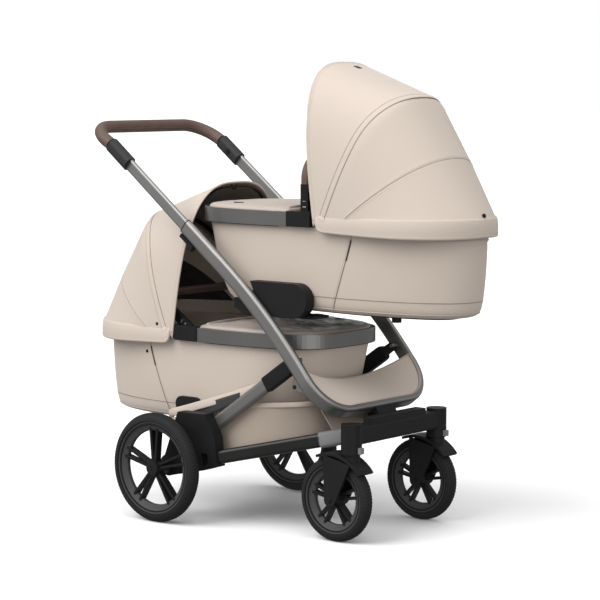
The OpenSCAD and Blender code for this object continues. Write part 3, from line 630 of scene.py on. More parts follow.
def smooth_rows(marks, steps):
    """Extra rows on a smooth curve through rows of numbers."""
    marks = np.asarray(marks, float)
    rows = []
    for i in range(len(marks) - 1):
        before = marks[max(i - 1, 0)]
        after = marks[min(i + 2, len(marks) - 1)]
        a, b = marks[i], marks[i + 1]
        for t in np.arange(steps) / steps:
            rows.append(0.5 * (2 * a + (b - before) * t + (2 * before - 5 * a + 4 * b - after) * t * t
                               + (3 * a - before - 3 * b + after) * t ** 3))
    rows.append(marks[-1])
    return np.array(rows)


def turned(points):
    """The lower cot is the same cot, turned round and set lower."""
    return np.asarray(points, float) * (-1, -1, 1) - (0, 0, cot_drop)


def rise(v, low, high):
    """A smooth step from 0 to 1."""
    t = np.clip((np.asarray(v, float) - low) / (high - low), 0, 1)
    return t * t * (3 - 2 * t)


def ring_uv(rings):
    """Lengths along and down the cloth, in metres."""
    rings = np.asarray(rings)
    run = np.linalg.norm(np.diff(rings, axis=1, append=rings[:, :1]), axis=2)
    run = np.cumsum(run, axis=1) - run
    down = np.linalg.norm(np.diff(rings, axis=0, prepend=rings[:1]), axis=2)
    return join(run, np.cumsum(down, axis=0)).reshape(-1, 2) * mm


wall_out = [(14, 0, 0.0), (15, 4, 0.08), (20, 22, 0.55), (28, 40, 0.87), (38, 54, 0.97), (52, 70, 1.0)]
wall_out = smooth_rows(wall_out, 14)
wall_in = smooth_rows([(21, 0, 0.0), (22, 4, 0.08), (27, 22, 0.55), (36, 42, 0.84), (49, 60, 0.95)], 6)
lip_up, lip_deep = 28, 0.08


def wall_ring(inset, foot_in, deep):
    """A ring of the wall, with soft folds at the head; the lip stands higher behind the hood's hem."""
    ring = cot_ring(inset, foot_in, deep)
    x = ring[:, 0]
    ring[:, 2] += lip_up * rise(x, 246, 272) * max(0, 1 - deep / lip_deep)
    fold = np.sin(tau * (9.5 * deep + 0.0035 * x)) + 0.6 * np.sin(tau * (14 * deep - 0.006 * x))
    fold *= 1.5 * rise(deep, 0.02, 0.06) * (1 - rise(deep, 0.13, 0.26)) * rise(x, 290, 345)
    ring[:, :2] += (ring[:, :2] - (cot_x, 0)) * (fold / 300)[:, None]
    return ring


def drawn_in(ring, middle, share):
    """A ring drawn in towards a point on the X axis."""
    return (ring - (middle, 0, 0)) * (share, share, 1) + (middle, 0, 0)


def floor_rings(ring):
    """Rings that close a body's bottom towards its middle."""
    rings = []
    for share in (0.8, 0.6, 0.4, 0.2, 0.02):
        inner = drawn_in(ring, cot_x, share)
        inner[:, 2] -= cot_bottom(inner[:, 0]) - cot_bottom(ring[:, 0])
        rings.append(inner)
    return rings


def cot_body(which, place):
    """A tub from the middle of its inner floor, over the lip, to the middle of its underside."""
    outer = [wall_ring(*w) for w in wall_out]
    inner = [wall_ring(*w) for w in wall_in]
    lip = [0.5 * (outer[0] + inner[0]) + (0, 0, 2)]
    rings = floor_rings(inner[-1])[::-1] + inner[::-1] + lip + outer + floor_rings(outer[-1])
    body = loft(which + "_body", place(rings), beige_cloth, uv=ring_uv(rings))
    body.data.flip_normals()
    fit(body, which + "_cot", "beige_fabric", which + "_tub")


def on_wall(x, deep, lift):
    """A point on the outer wall of a cot's head half, on its left side."""
    inset = np.interp(deep, wall_out[:, 2], wall_out[:, 0]) - lift
    y = (cot_y - inset) * (1 - (np.abs(x - cot_x) / (head_l - inset)) ** head_round) ** (1 / head_round)
    return join(x, y, lip_z - deep * cot_bottom(x))


def wall_loop(deep, lift):
    """A line round a cot's wall at a share of its depth."""
    inset, foot_in = (np.interp(deep, wall_out[:, 2], wall_out[:, a]) for a in (0, 1))
    return cot_ring(inset - lift, foot_in, deep)


def cot_way(place, way):
    """A direction on a cot."""
    return place(np.asarray(way, float)) - place(np.zeros(3))


# seam_shade is painted shade: dark cords laid along the cots' seams, the hood's seam and both edges of its
# zip band, where creases and gaps fall in shadow.
seam_shade = thread("seam_shade", (0.15, 0.118, 0.095), (0.21, 0.168, 0.138))
beige_thread = thread("beige_thread", (0.36, 0.295, 0.245), (0.50, 0.425, 0.36))
cots = {"upper": np.asarray, "lower": turned}
seam_deep = np.linspace(0.03, 0.965, 40)
seam_x = 338 - 72 * seam_deep ** 1.2
low_seam = wall_loop(0.815, 0.2)
low_seam = np.concatenate([low_seam[110:], low_seam[:51]])
for which, place in cots.items():
    cot_body(which, place)
    body = which + "_cot"
    rows = []
    for side, y in sides:
        seam = on_wall(seam_x, seam_deep, 0.3) * (1, y, 1)
        # Painted shade: the side seam's open upper part is a dark strip that stands for the shadow in its
        # slit.
        slit = seam[4:15] + (0.6, 0, 0)
        sweep(which + "_side_seam_" + side, place(seam), oval(2.2, 1.8, 8), seam_shade,
              body, "beige_fabric", up=(1, 0, 0))
        sweep(which + "_slit_shade_" + side, place(slit), oval(4.6, 2.2, 10), dark_seam_and_slit_shade,
              body, "beige_fabric", up=(1, 0, 0))
        rows.append(place(evenly(on_wall(seam_x - 5, seam_deep, 0.5) * (1, y, 1), 3)))
    sweep(which + "_low_seam", place(low_seam), oval(1.5, 1.5, 8), seam_shade, body, "beige_fabric")
    rows.append(place(evenly(low_seam + (0, 0, 4), 3)))
    sweep(which + "_bottom_piping", place(wall_loop(0.955, 0.8)), oval(3.4, 3.4, 10), beige_lining,
          body, "beige_fabric", closed=True)
    fit(sew(which + "_body_stitches", rows, beige_thread), body, "beige_fabric")
    spot = on_wall(np.array([350.0]), np.array([0.2]), 0)[0]
    stud = snap(which + "_body_stud", place(spot), cot_way(place, (0.1, 1, 0)), 4.5, black_plastic)
    fit(stud, body, "black_plastic")

# Rim, joints and base: a grey anodised band round the foot half, black mouldings at the hinge
# of the hood, and a black base with four feet under the bottom. A carry handle with black arms
# and a leather grip swings in the joints; the upper cot hangs on two black adaptors.
rim_band = anodised("rim_band", (0.145, 0.143, 0.140), (0.205, 0.202, 0.197), 0.28)
rim_tall, rim_end = 36, 147
rim_edge = cot_ring(1.4, 0, 0)
rim_edge = rim_edge[rim_edge[:, 0] < rim_end]
for which, place in cots.items():
    dress(rim_band, which + "_rim")
    # Along the band's top edge runs a paler metal bead, a painted highlight; along its bottom edge runs a
    # black line.
    for name, high, finish, slot in (("bottom_line", -0.3, black_plastic, "black_plastic"),
                                     ("highlight_bead", rim_tall - 0.2, silver_tube, "rim_band")):
        path = place(rim_edge + (0, 0, high))
        sweep(which + "_rim_" + name, path, oval(2.6, 2.2, 10), finish, which + "_cot", slot)
    dress(black_plastic, which + "_joints", which + "_base", which + "_carry_arms")
    dress(black_plastic, which + "_hood_front_bow", which + "_hood_middle_bow")
    dress(leather, which + "_carry_grip")
dress(black_plastic, "upper_adaptors")
tail = [(-13, 586), (62, 590), (62, 545), (33, 545), (9, 551), (-13, 562)]
tail_in, tail_out = 193, 206
for side, y in sides:
    piece = plate("adaptor_tail_" + side, tail, y * tail_in, y * tail_out, black_plastic)
    fit(piece, "upper_cot", "black_plastic")
carry_lean = {"upper": 0, "lower": radians(55)}
carry_pivot = np.array([190, 0, 797.0])
arm_face = 175.3
for which, place in cots.items():
    lean = carry_lean[which]
    out = np.array([np.sin(lean), 0, np.cos(lean)])
    flat = np.array([np.cos(lean), 0, -np.sin(lean)])
    body = which + "_carry_handle"
    grip_seam(which + "_carry", body, place(carry_pivot), cot_way(place, out), cot_way(place, flat),
              foot=82, reach=150, half=170, radius=60, deep=6.6, apart=2.2)
    for side, y in sides:
        for name, high, tall, finish in (("plate", 22, 4.2, silver_tube), ("slot", 36, 2.6, grey_plastic)):
            spot = carry_pivot + high * out + (0, y * arm_face, 0)
            path = place(spot + np.outer(np.linspace(-5, 5, 5), flat))
            bar = sweep("_".join((which, "arm", name, side)), path, oval(tall, 1.2, 12), finish,
                        up=cot_way(place, out))
            fit(bar, body, "grey_plastic")

# Mattresses: a foam slab in a knitted cover that lies on the cot's bottom,
# crowned on top, with a rounded edge and shallow quilting.
mattress_knit = woven("mattress_knit", (0.60, 0.54, 0.47), (0.74, 0.68, 0.61), 0.0016, 0.75, 0.4)
bed_marks = [(51, 0.94), (46, 0.92), (44, 0.88), (45, 0.83), (50, 0.795), (62, 0.775), (84, 0.763)]
bed_low, bed_high = bed_marks[0][1], bed_marks[-1][1]
bed_mid, bed_foot_in, quilt_pitch = cot_x - 15, 62, 62
for which, place in cots.items():
    rings = [cot_ring(inset, bed_foot_in, deep) for inset, deep in smooth_rows(bed_marks, 4)]
    under = drawn_in(rings[0], cot_x, 0.03)
    under[:, 2] = lip_z - bed_low * cot_bottom(under[:, 0])
    edge = rings[-1]
    for share in np.linspace(0.97, 0.02, 34):
        ring = drawn_in(edge, bed_mid, share)
        x, y = ring[:, 0], ring[:, 1]
        quilt = np.abs(np.sin(pi * (x + y) / quilt_pitch) * np.sin(pi * (x - y) / quilt_pitch)) ** 0.5
        fade = rise(1 - share, 0.02, 0.2)
        ring[:, 2] = lip_z - bed_high * cot_bottom(x) + 5 * (1 - share ** 2) + (2.6 * quilt - 1.6) * fade
        rings.append(ring)
    rings = [under] + rings
    pad = loft(which + "_mattress_pad", place(rings), mattress_knit, uv=ring_uv(rings))
    fit(pad, which + "_cot", "mattress_fabric", which + "_mattress")


# Covers: a padded cloth cover over each cot's foot half, held round its edge inside the rim.
# The lower one is slack brown cloth with folds; both have a rolled hem towards the hood.
cover_brown = woven("cover_brown", (0.31, 0.255, 0.215), (0.45, 0.380, 0.325), 0.0012, 0.28, 0.15, 0.3)
cover_beige = woven("cover_beige", (0.365, 0.305, 0.258), (0.445, 0.383, 0.332), 0.0009, 0.62, 0.25)
cover_x, cover_mid = 148, -20


def cover_outline(inset, arc=150, hem=64):
    """The edge of a cover: round the foot inside the rim, and back along the hem."""
    reach, wide, p = foot_l - inset, cot_y - inset, 2 / foot_round
    first = np.arccos(-((cot_x - cover_x) / reach) ** (1 / p))
    turn = first + (tau - 2 * first) * np.linspace(0, 1, arc)
    x = cot_x - reach * (-np.cos(turn)) ** p
    y = wide * power(np.sin(turn), p)
    across = np.linspace(-1, 1, hem + 2)[1:-1]
    hem_x = cover_x - inset / 8 - 6 * (1 - across ** 2)
    return np.concatenate([join(x, y), join(hem_x, wide * across)])


def ridges(phase):
    """Sharp ridges with soft hollows between them, from 0 to 1."""
    return (1 - np.abs(np.sin(phase))) ** 1.6


def cover(which, place, finish, slot, fold, crease):
    """A cover with its rolled hem and a pull tab; fold is the height of its wrinkles."""
    body = which + "_cot"
    edge = cover_outline(11.4)
    levels = smooth_rows([(0.985, -11), (0.997, -6), (1, 0), (0.985, 5), (0.95, 8), (0.88, 10),
                          (0.75, 11.5), (0.6, 12.5)], 3)
    levels = list(levels) + [(share, 12.5 + 1.2 * (0.6 - share)) for share in np.linspace(0.57, 0.02, 30)]
    top = []
    for share, lift in levels:
        xy = (edge - (cover_mid, 0)) * share + (cover_mid, 0)
        x, y = xy[:, 0], xy[:, 1]
        fade = rise(1 - share, 0.03, 0.25)
        ridge = ridges(0.050 * y + 0.7 * np.sin(0.017 * x + 0.5)) * (0.55 + 0.45 * np.sin(0.023 * x + 1.2))
        ridge += 0.7 * ridges(0.030 * y - 0.021 * x + 0.9) * (0.5 + 0.5 * np.sin(0.03 * y - 0.01 * x))
        ridge += crease * ridges(0.105 * y + 0.048 * x + 1.1 * np.sin(0.024 * x - 0.017 * y))
        wrinkle = ridge - 0.4 - crease / 3
        top.append(join(x, y, lip_z + rim_tall + lift + fold * wrinkle * fade))
    top = np.array(top)
    below = top[::-1].copy()
    below[:, :, 2] -= 2.4
    below[:, :, :2] = (below[:, :, :2] - (cover_mid, 0)) * 0.99 + (cover_mid, 0)
    rings = np.concatenate([below, top])
    piece = loft(which + "_cover_cloth", place(rings), finish, uv=rings[:, :, :2].reshape(-1, 2) * mm)
    fit(piece, body, slot, which + "_cover")
    across = np.linspace(-170, 170, 41)
    hem_x = cover_x - 12 - 6 * (1 - (across / 184) ** 2)
    path = join(hem_x, across, lip_z + 47 - 4 * (across / 170) ** 4)
    roll = sweep(which + "_cover_hem", place(path), oval(9, 6.5, 16), finish, body, slot)
    strip = np.linspace((-84, -121, lip_z + 48), (-54, -121, lip_z + 48), 7)
    tab = sweep(which + "_cover_tab", place(strip), oval(7, 2.4, 12)[:, ::-1], black_plastic,
                body, "black_plastic")


cover("upper", cots["upper"], cover_beige, "beige_fabric", fold=2.4, crease=0.15)
cover("lower", cots["lower"], cover_brown, "taupe_fabric", fold=8.0, crease=0.34)

# Hoods: one sheet of beige cloth stretched over two bows, lined in brown near its piped opening,
# with a stitched zip band over the middle bow, a seam towards the head and a doubled hem band.
hood_foot = 775
hood_bows = np.array([
    (236, hood_foot, 181, 1174, 196, 3.0),
    (256, hood_foot, 419, 1091, 196, 2.6),
    (302, hood_foot, 520, 941, 194, 2.3),
    (372, hood_foot, 607, 795, 190, 2.0),
    (385, 772, 608, 770, 189, 2.0),
])
last_bow = len(hood_bows) - 1
hood_still, hood_moves = np.array([417.6, 0, 891.5]), np.array([246.1, 0, 979.9])


def bow_at(k):
    """The values of a bow, or between two."""
    i = min(int(k), last_bow - 1)
    return hood_bows[i] * (1 - k + i) + hood_bows[i + 1] * (k - i)


def hood_row(k, count=145, soften=0.07):
    """A row of points across the hood, from its right foot to its left, at a place between bows."""
    d = min(soften, k, last_bow - k)
    foot_x, foot_z, crown_x, crown_z, wide, n = (bow_at(k - d) + 2 * bow_at(k) + bow_at(k + d)) / 4
    u = np.linspace(-pi / 2, pi / 2, 1201)
    up, side = np.abs(np.cos(u)) ** (2 / n), power(np.sin(u), 2 / n)
    points = join(foot_x + (crown_x - foot_x) * up, wide * side, foot_z + (crown_z - foot_z) * up)
    return spread(points, count)


def grid_normals(grid, middle):
    """Outward directions of a sheet of points."""
    across, along = np.gradient(grid, axis=1), np.gradient(grid, axis=0)
    out = np.cross(across, along)
    out /= np.maximum(np.linalg.norm(out, axis=2), 1e-9)[:, :, None]
    flip = np.sign(np.sum(out * (grid - middle), axis=2).mean())
    return out * flip


def sheet_of(name, grid, middle, thick, finishes, place=np.asarray, inner_pick=None):
    """A cloth sheet of real thickness through a grid of points, its inner side in picked finishes."""
    rows, cols = grid.shape[:2]
    inner = grid - thick * grid_normals(grid, middle)
    points = np.concatenate([grid.reshape(-1, 3), inner.reshape(-1, 3)])
    at = np.arange(rows * cols).reshape(rows, cols)
    quads = join(at[:-1, :-1], at[:-1, 1:], at[1:, 1:], at[1:, :-1]).reshape(-1, 4)
    border = np.concatenate([at[0], at[1:, -1], at[-1, -2::-1], at[-2:0:-1, 0]])
    after = np.roll(border, -1)
    n = rows * cols
    edge = join(after, border, border + n, after + n)
    first = points[quads[len(quads) // 2]]
    normal = np.cross(first[1] - first[0], first[2] - first[0])
    faces = np.concatenate([quads, quads[:, ::-1] + n, edge])
    if np.dot(normal, first[0] - middle) <= 0:
        faces = faces[:, ::-1]
    picks = np.zeros(len(faces), int)
    if inner_pick is not None:
        picks[len(quads):2 * len(quads)] = np.repeat(inner_pick, cols - 1)
    run = np.linalg.norm(np.diff(grid, axis=1, prepend=grid[:, :1]), axis=2).cumsum(1)
    down = np.linalg.norm(np.diff(grid, axis=0, prepend=grid[:1]), axis=2).cumsum(0)
    uv = join(run, down).reshape(-1, 2) * mm
    return shape(name, place(points), faces.tolist(), finishes, picks, np.concatenate([uv, uv]))


hood_middle = np.array([330, 0, 860.0])
skirt_low, skirt_high, skirt_in = 782, 832, 5
fine_rows = 40
fine_grid = np.stack([hood_row(k / fine_rows) for k in range(last_bow * fine_rows + 1)])
fine_out = grid_normals(fine_grid, hood_middle)


def on_hood(ks, lift, shift=0):
    """A line over the cloth from right to left, at places between bows, and the way to the head."""
    at = np.clip(np.broadcast_to(ks, fine_grid.shape[1]) * fine_rows, 0, last_bow * fine_rows - 0.001)
    low = at.astype(int)
    t = (at - low)[:, None]
    j = np.arange(fine_grid.shape[1])
    way = unit(fine_grid[low + 1, j] - fine_grid[low, j])
    out = fine_out[low, j] * (1 - t) + fine_out[low + 1, j] * t
    return fine_grid[low, j] * (1 - t) + fine_grid[low + 1, j] * t + lift * out + shift * way, way


black_web = woven("black_web", (0.010, 0.010, 0.010), (0.026, 0.026, 0.026), 0.0014, 0.6, 0.35)


def hood_level(z, first=1.15):
    """A level line round the hood's cloth, from its right side by the head to its left."""
    side = []
    for row in fine_grid[int(first * fine_rows):]:
        half = row[:len(row) // 2 + 1]
        if half[-1, 2] > z:
            side.append([np.interp(z, half[:, 2], half[:, a]) for a in range(3)])
    side = np.array(side)
    return spread(np.concatenate([side, side[::-1] * (1, -1, 1)]), 121)


def hood_skirt(which, place):
    """The pale band of lining inside the hood's foot, with a piped upper edge."""
    grid = np.stack([hood_level(z) for z in np.linspace(skirt_low, skirt_high, 9)])
    grid = grid - skirt_in * grid_normals(grid, hood_middle)
    band = sheet_of(which + "_hood_skirt", grid, hood_middle, 1.2, [beige_cloth], place)
    return [band, sweep(which + "_skirt_piping", place(grid[-1]), oval(4.4, 4.0, 10), beige_cloth)]


def hood_cloth(which, place):
    """The sheet, creased at its seam and with its front corners rounded up."""
    marks = ((0, 1.9, 43), (1.9, 2.1, 24), (2.1, 3, 18), (3, 4, 8))
    ks = np.concatenate([np.linspace(first, last, count + 1)[:-1] for first, last, count in marks] + [[4]])
    grid = np.stack([hood_row(k) for k in ks])
    crease = 1.5 * np.exp(-((ks - 2) / 0.022) ** 2) - 0.7 * np.exp(-((ks - 2) / 0.06) ** 2)
    grid -= crease[:, None, None] * grid_normals(grid, hood_middle)
    corner = 15 * (1 - np.sqrt(1 - (1 - np.minimum(ks / 0.75, 1)) ** 2))
    share = np.clip((grid[:, :, 2] - hood_foot) / 60, 0, 1)
    grid[:, :, 2] += corner[:, None] * (1 - share) ** 2
    mids = (ks[1:] + ks[:-1]) / 2
    inner = np.where(mids < 1.15, 1, np.where(mids < 1.8, 0, 2))
    finishes = [beige_cloth, brown_lining, black_web]
    return sheet_of(which + "_hood_cloth", grid, hood_middle, 3.2, finishes, place, inner)


hem_top, hem_tall, hem_corner = 799, 29, 22
hem_profile = np.array([(-3.2, 0.97), (-0.6, 1.0), (2.0, 0.985), (3.6, 0.93), (3.9, 0.86), (3.1, 0.80),
                        (3.4, 0.72), (3.7, 0.55), (3.2, 0.35), (2.0, 0.17), (0.6, 0.06), (-0.6, 0.0),
                        (-3.2, 0.0)])


def hood_hem(which, place):
    """A doubled hem band round the tub's lip, deeper towards the head and rounded up at its front."""
    feet = np.array([bow_at(k)[[0, 4]] for k in np.linspace(0.3, 3, 45)])
    side = join(feet[:, 0], -feet[:, 1], 0)
    head = hood_row(3.5) * (1, 1, 0)
    path = evenly(np.concatenate([side[:-1], head, side[::-1][1:] * (1, -1, 1)]), 5)
    along = np.gradient(path, axis=0)
    out = unit(join(along[:, 1], -along[:, 0], 0))
    run = lengths(path)
    near_end = np.minimum(run, run[-1] - run)
    lift = hem_corner - np.sqrt(np.maximum(hem_corner ** 2 - np.maximum(hem_corner - near_end, 0) ** 2, 0))
    tall = hem_tall + 10 + 10 * np.sin(2.2 * near_end / near_end.max()) - lift
    rings = path[:, None] + out[:, None] * hem_profile[None, :, :1]
    rings[:, :, 2] = hem_top - tall[:, None] * hem_profile[None, :, 1]
    down = tall[:, None] * (1 - hem_profile[None, :, 1])
    uv = join(run[:, None], down).reshape(-1, 2) * mm
    seam = path + 3.6 * out
    seam[:, 2] = hem_top - 0.79 * tall
    return loft(which + "_hood_hem", place(rings), beige_cloth, uv=uv), seam[4:-4]


zip_side = np.abs(np.linspace(-1, 1, fine_grid.shape[1]))
zip_k = 0.99 - 0.12 * rise(zip_side, 0.05, 0.5)
zip_wide = 15
whole, right_foot, left_foot = slice(None), slice(0, 5), slice(-5, None)
strips = {
    "_hood_edge": (0, -1.6, 0, whole, oval(5.4, 5.0, 14), beige_cloth),
    "_hood_zip_band": (zip_k, 0.3, 0, whole, oval(zip_wide, 2.0, 16), beige_cloth),
    "_hood_zip_gap": (zip_k, 0.1, -zip_wide / 2 - 0.5, whole, oval(2.0, 1.4, 8), seam_shade),
    "_hood_zip_line": (zip_k, 0.1, zip_wide / 2 + 0.3, whole, oval(1.3, 1.1, 8), seam_shade),
    "_hood_seam": (2, -1.0, 0, whole, oval(1.5, 1.5, 8), seam_shade),
    "_zip_flap_right": (zip_k, 1.0, 0, right_foot, oval(21, 3.4, 16), beige_cloth),
    "_zip_flap_left": (zip_k, 1.0, 0, left_foot, oval(21, 3.4, 16), beige_cloth),
}
studs = {
    "_hood_stud": ((604.5, 0, 806), (1, 0, 0.35), 5.5),
    "_hood_side_stud": ((288, 194.6, 808), (0.05, 1, 0.1), 4.5),
}
for which, place in cots.items():
    cloth = hood_cloth(which, place)
    hem, hem_seam = hood_hem(which, place)
    trims = [hem] + hood_skirt(which, place)
    for name, (ks, lift, shift, part, section, finish) in strips.items():
        path, way = on_hood(ks, lift, shift)
        ends = place(np.stack([path, path + way]))[:, part]
        trims.append(sweep(which + name, ends[0], section, finish, up=ends[1] - ends[0]))
    rows = [on_hood(zip_k, 1.3, d)[0] for d in (-zip_wide / 2 + 2, zip_wide / 2 - 2)]
    rows += [on_hood(0, 0.2, 8)[0], on_hood(2, 0.5, 4)[0]]
    rows = [place(evenly(row[2:-2], 3)) for row in rows] + [place(hem_seam)]
    trims.append(sew(which + "_hood_stitches", rows, beige_thread))
    crown = fine_grid.shape[1] // 2
    path = np.linspace(on_hood(0.13, 0.6)[0][crown], on_hood(0.19, 0.6)[0][crown], 5)
    fixings = [sweep(which + "_hood_tab", place(path), oval(17, 2.4, 16)[:, ::-1], black_web)]
    turn = np.linspace(0, pi, 15)
    path = join(191, 10 * np.cos(turn), 1166 - 13 * np.sin(turn) ** 0.7)
    fixings.append(sweep(which + "_hood_loop", place(path), oval(3.6, 3.6, 10), black_plastic, up=(1, 0, 0)))
    for name, (spot, way, radius) in studs.items():
        fixings.append(snap(which + name, place(spot), cot_way(place, way), radius, black_plastic))
    start, end = place(np.stack([hood_still, hood_moves])) * mm
    for slot, pieces in (("beige_fabric", [cloth] + trims), ("black_plastic", fixings)):
        for piece in pieces:
            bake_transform(piece)
    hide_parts(which + "_hood")
    trims + fixings


# Shopping basket: a hung bag of beige cloth between the lower tubes, with black piping at its floor,
# a doubled hem, a strap on each side from the axle, and a slack panel that closes it towards the bow.
def low_tube(x, axis):
    """Where the lower tube's middle line lies on an axis."""
    way = low_front - low_rear
    return low_rear[axis] + way[axis] * (x - low_rear[0]) / way[0]


basket_rear, basket_end, basket_half, basket_belly, basket_corner = -140, 205, 179, 2.2, 0.35
basket_mid = (basket_rear + basket_end) / 2


def basket_ring(inset, up, count=192):
    """A level of the basket from its floor, 0, to its hem, 1; the walls belly out a little."""
    turn = np.arange(count) * tau / count
    half = (basket_end - basket_rear) / 2 - inset
    x = basket_mid + half * power(np.cos(turn), basket_corner)
    wide = np.minimum(basket_half, low_tube(x, 1) - 18) * (1 - up) + basket_half * up
    belly = basket_belly * np.sin(pi * min(max(up, 0), 1))
    back = np.clip((basket_rear + 75 - x) / 40, 0, 1)
    hem = 300 + 34 * (x - basket_rear) / (basket_end - basket_rear) - 72 * back
    floor_z = low_tube(x, 2) - 4 + inset
    y = (wide - inset + belly * np.cos(0.021 * (x - 30)) - belly) * power(np.sin(turn), basket_corner)
    return join(x, y, floor_z * (1 - up) + hem * up)


def basket_floor(ring, share):
    """A ring of the floor, drawn in towards its middle and sagging a little."""
    inner = drawn_in(ring, basket_mid, share)
    inner[:, 2] = low_tube(inner[:, 0], 2) + (ring[:, 2] - low_tube(ring[:, 0], 2)) - 3 * (1 - share)
    return inner


walls = [(6, 0), (1.5, 0.015), (0, 0.05)] + [(0, up) for up in np.linspace(0.12, 1, 12)]
outer = [basket_ring(*w) for w in walls]
inner = [basket_ring(2.4, up) for up in np.linspace(1, 0.06, 12)] + [basket_ring(8, 0) + (0, 0, 2.4)]
floors = (0.9, 0.7, 0.5, 0.3, 0.1, 0.01)
rings = [basket_floor(outer[0], share) for share in floors[::-1]] + outer + inner
rings += [basket_floor(inner[-1], share) for share in floors]
bottom_rows = len(floors) + 3
picks = np.repeat(np.arange(len(rings) - 1) < bottom_rows, len(rings[0])).astype(int).tolist() + [1, 0]
# The basket's cloth is a darker copy of the beige cloth: partly its own taupe tone, partly painted shade for
# the shadow it hangs in under the cots.
basket_taupe_and_shade = woven("basket_taupe_and_shade", (0.29, 0.235, 0.190), (0.36, 0.30, 0.25), 0.0009, 0.68, 0.25)
basket = loft("basket_bag", rings, basket_taupe_and_shade, black_web, picks=picks, uv=ring_uv(rings))
fit(basket, "chassis", "beige_fabric", "basket")
trims = [
    sweep("basket_hem", basket_ring(-0.4, 0.965), oval(13, 3.4, 12), beige_lining,
          "chassis", "beige_fabric", closed=True),
    sweep("basket_piping", basket_ring(-0.8, 0.03), oval(3.8, 3.6, 10), black_web,
          "chassis", "beige_fabric", closed=True),
]
strap_rear, strap_long, strap_low, strap_rise, strap_y = -238, 306, 270, 98.5, 179.6
gap_shade_rear, gap_shade_front, gap_shade_y = -222, -15, 183.6
for side, y in sides:
    t = np.linspace(0, 1, 40)
    out = strap_y + 7.0 * (1 - rise(t, 0.28, 0.55)) + 9 * (1 - rise(t, 0, 0.16))
    high = strap_low + strap_rise * t - 2 * np.sin(pi * t)
    path = join(strap_rear + strap_long * t, y * out, high)
    tuck = [(x, y * out[0], z) for x, z in ((-222, 238), (-230, 247), (-235, 256), (-237.5, 264))]
    trims.append(sweep("basket_strap_" + side, np.concatenate([tuck, path]), oval(21, 4.6, 16), beige_cloth,
                       "chassis", "beige_fabric", up=(-0.3, 0, 1)))
    # Painted shade: on each side a black sheet fills the gap between the strap and the leg, standing in for
    # the shadow inside the bag.
    x = np.linspace(gap_shade_rear, gap_shade_front, 30)
    upper = strap_low + strap_rise * (x - strap_rear) / strap_long
    lower = 228 + 0.44 * (x - gap_shade_rear)
    levels = [upper * s + lower * (1 - s) for s in np.linspace(0, 1, 6)]
    grid = np.stack([join(x, y * gap_shade_y, z) for z in levels])
    gap_shade = sheet_of("basket_gap_shade_" + side, grid, np.array([-100, 0, 280.0]), 1.6, [black_web])
    trims.append(fit(gap_shade, "chassis", "beige_fabric"))
for cloth in [basket] + trims:
    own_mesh(cloth)

panel_y = np.linspace(-1, 1, 49)
low_edge = join(282 - 28 * panel_y ** 2, 126.8 * panel_y, 266 - 14 * panel_y ** 2)
high_edge = join(250 - 40 * panel_y ** 2, 160 * panel_y, 292 + 58 * panel_y ** 4)
panel_rows = []
for t in np.linspace(0, 1, 19):
    sag = np.sin(pi * t) * (1.6 + 0.8 * np.sin(7 * panel_y + 2) * (1 - panel_y ** 4))
    panel_rows.append(low_edge * (1 - t) + high_edge * t - np.outer(sag, (0.8, 0, 0.6)))
grid = np.array(panel_rows)
border = evenly(np.concatenate([grid[:, 0], grid[-1, 1:], grid[-2::-1, -1]]), 5)
panel = sheet_of("basket_front_panel", grid, np.array([240, 0, 200.0]), 2.0, [basket_taupe_and_shade])
panel_edge = sweep("basket_front_piping", border, oval(3.2, 3.2, 10), beige_lining, up=(1, 0, 0))
for piece in (panel_edge, panel):
    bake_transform(piece)
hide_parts("basket_front")


# Apron: beige cloth laced inside the frame's bow, dipping at its free rear edge,
# with a pale piping round it.
bow_slope, bow_r, tube_h, tube_face = radians(51.8), 100, 41, 6.5
apron_rear, apron_gap = -22, 0.3
bow_origin = np.array([226.515, 0, 394.286])
bow_up = np.array([np.sin(bow_slope), 0, np.cos(bow_slope)])
bow_axes = np.array([(np.cos(bow_slope), 0, -np.sin(bow_slope)), (0, 1, 0), bow_up])


def apron_row(x, count=73):
    """A row of the apron from right to left, at a place along the bow's slope."""
    across = np.linspace(-1, 1, count)
    inner, reach = frame_y - tube_face - apron_gap, bow_r - tube_face - apron_gap
    bend = np.sqrt(max((bow_r - tube_face) ** 2 - max(x, 0) ** 2, 0))
    half = inner if x <= 0 else inner - bow_r + tube_face + bend
    share = (x - apron_rear) / (reach - apron_rear)
    dip = 42 * max(1 - share, 0) ** 1.4 * (1 - across ** 2)
    forward = 20 * (1 - across ** 2) * (1 - share)
    return bow_origin + join(x + forward, across * half, tube_h / 2 - 5 - dip) @ bow_axes


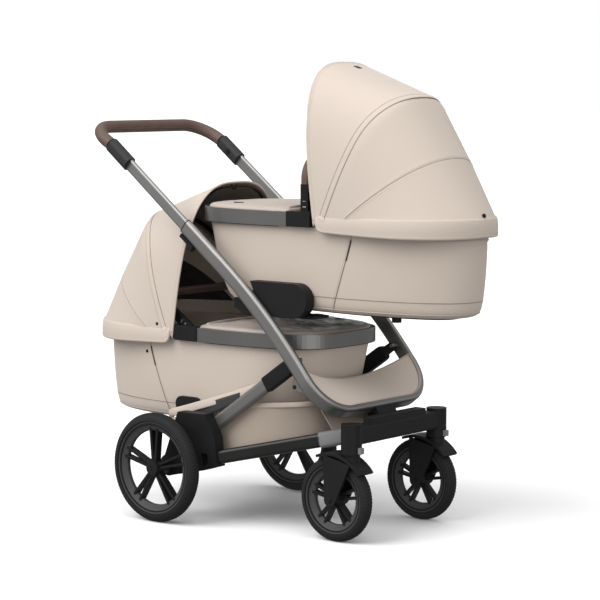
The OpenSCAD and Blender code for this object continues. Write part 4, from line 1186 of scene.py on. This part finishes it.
apron_xs = np.concatenate([np.linspace(apron_rear, 62, 22), np.linspace(65, 92.6, 11)])
grid = np.stack([apron_row(x) for x in apron_xs])
apron = sheet_of("apron_cloth", grid, np.array([200, 0, 200.0]), 2.2, [beige_cloth])
fit(apron, "main_frame", "beige_fabric", "apron")
apron_edge = sweep("apron_piping", grid[0], oval(4.2, 4.2, 10), beige_lining, "main_frame", "beige_fabric")
border = evenly(np.concatenate([grid[:, 0], grid[-1, 1:-1], grid[::-1, -1]]), 5) + 1.2 * bow_up
apron_round = sweep("apron_border", border, oval(4.0, 4.0, 10), beige_lining, "main_frame", "beige_fabric",
                    up=bow_up)


# Floor and light: a pale studio floor that throws little light back, a white wall with a greyer
# ceiling, a soft light from the front left, a wide one from above and a low one from the right.
floor_half = 60000
floor_finish, shader, place = new_finish("pale_floor", roughness=0.9)
place.noise(2).tint((0.90, 0.90, 0.90), (0.92, 0.92, 0.92)).into(shader, "Base Color")
corners = np.array([(-1, -1, 0), (1, -1, 0), (1, 1, 0), (-1, 1, 0)]) * floor_half
floor = shape("floor", corners, [(0, 1, 2, 3)], [floor_finish])
floor.visible_diffuse = False
floor.visible_glossy = False

studio = bpy.data.worlds.new("studio")
studio.use_nodes = True
sky = Shade(studio.node_tree)
way = sky.node("ShaderNodeTexCoord", out="Generated")
height = sky.node("ShaderNodeSeparateXYZ", sockets={0: way}, out=2)
greys = [(0, 0.34), (0.47, 0.34), (0.485, 1), (0.53, 1), (0.66, 0.42)]
stops = [(share, (grey, grey, grey)) for share, grey in greys]
room = sky.node("ShaderNodeValToRGB", {"stops": stops}, {"Fac": height * 0.5 + 0.5})
room.into(studio.node_tree.nodes["Background"], "Color")
scene.world = studio
scene.view_settings.view_transform = "Standard"
lamps = {
    "key": ((-1.4, -3.6, 3.4), 50, 2.30),
    "top": ((0.5, -0.6, 4.0), 80, 1.70),
    "side": ((3.4, -2.2, 0.8), 60, 0.95),
}
for name, (spot, angle, strength) in lamps.items():
    data = bpy.data.lights.new(name, "SUN")
    data.angle = radians(angle)
    data.energy = strength
    lamp = bpy.data.objects.new(name, data)
    lamp.location = spot
    lamp.rotation_euler = (-lamp.location).to_track_quat("-Z", "Y").to_euler()
    scene.collection.objects.link(lamp)
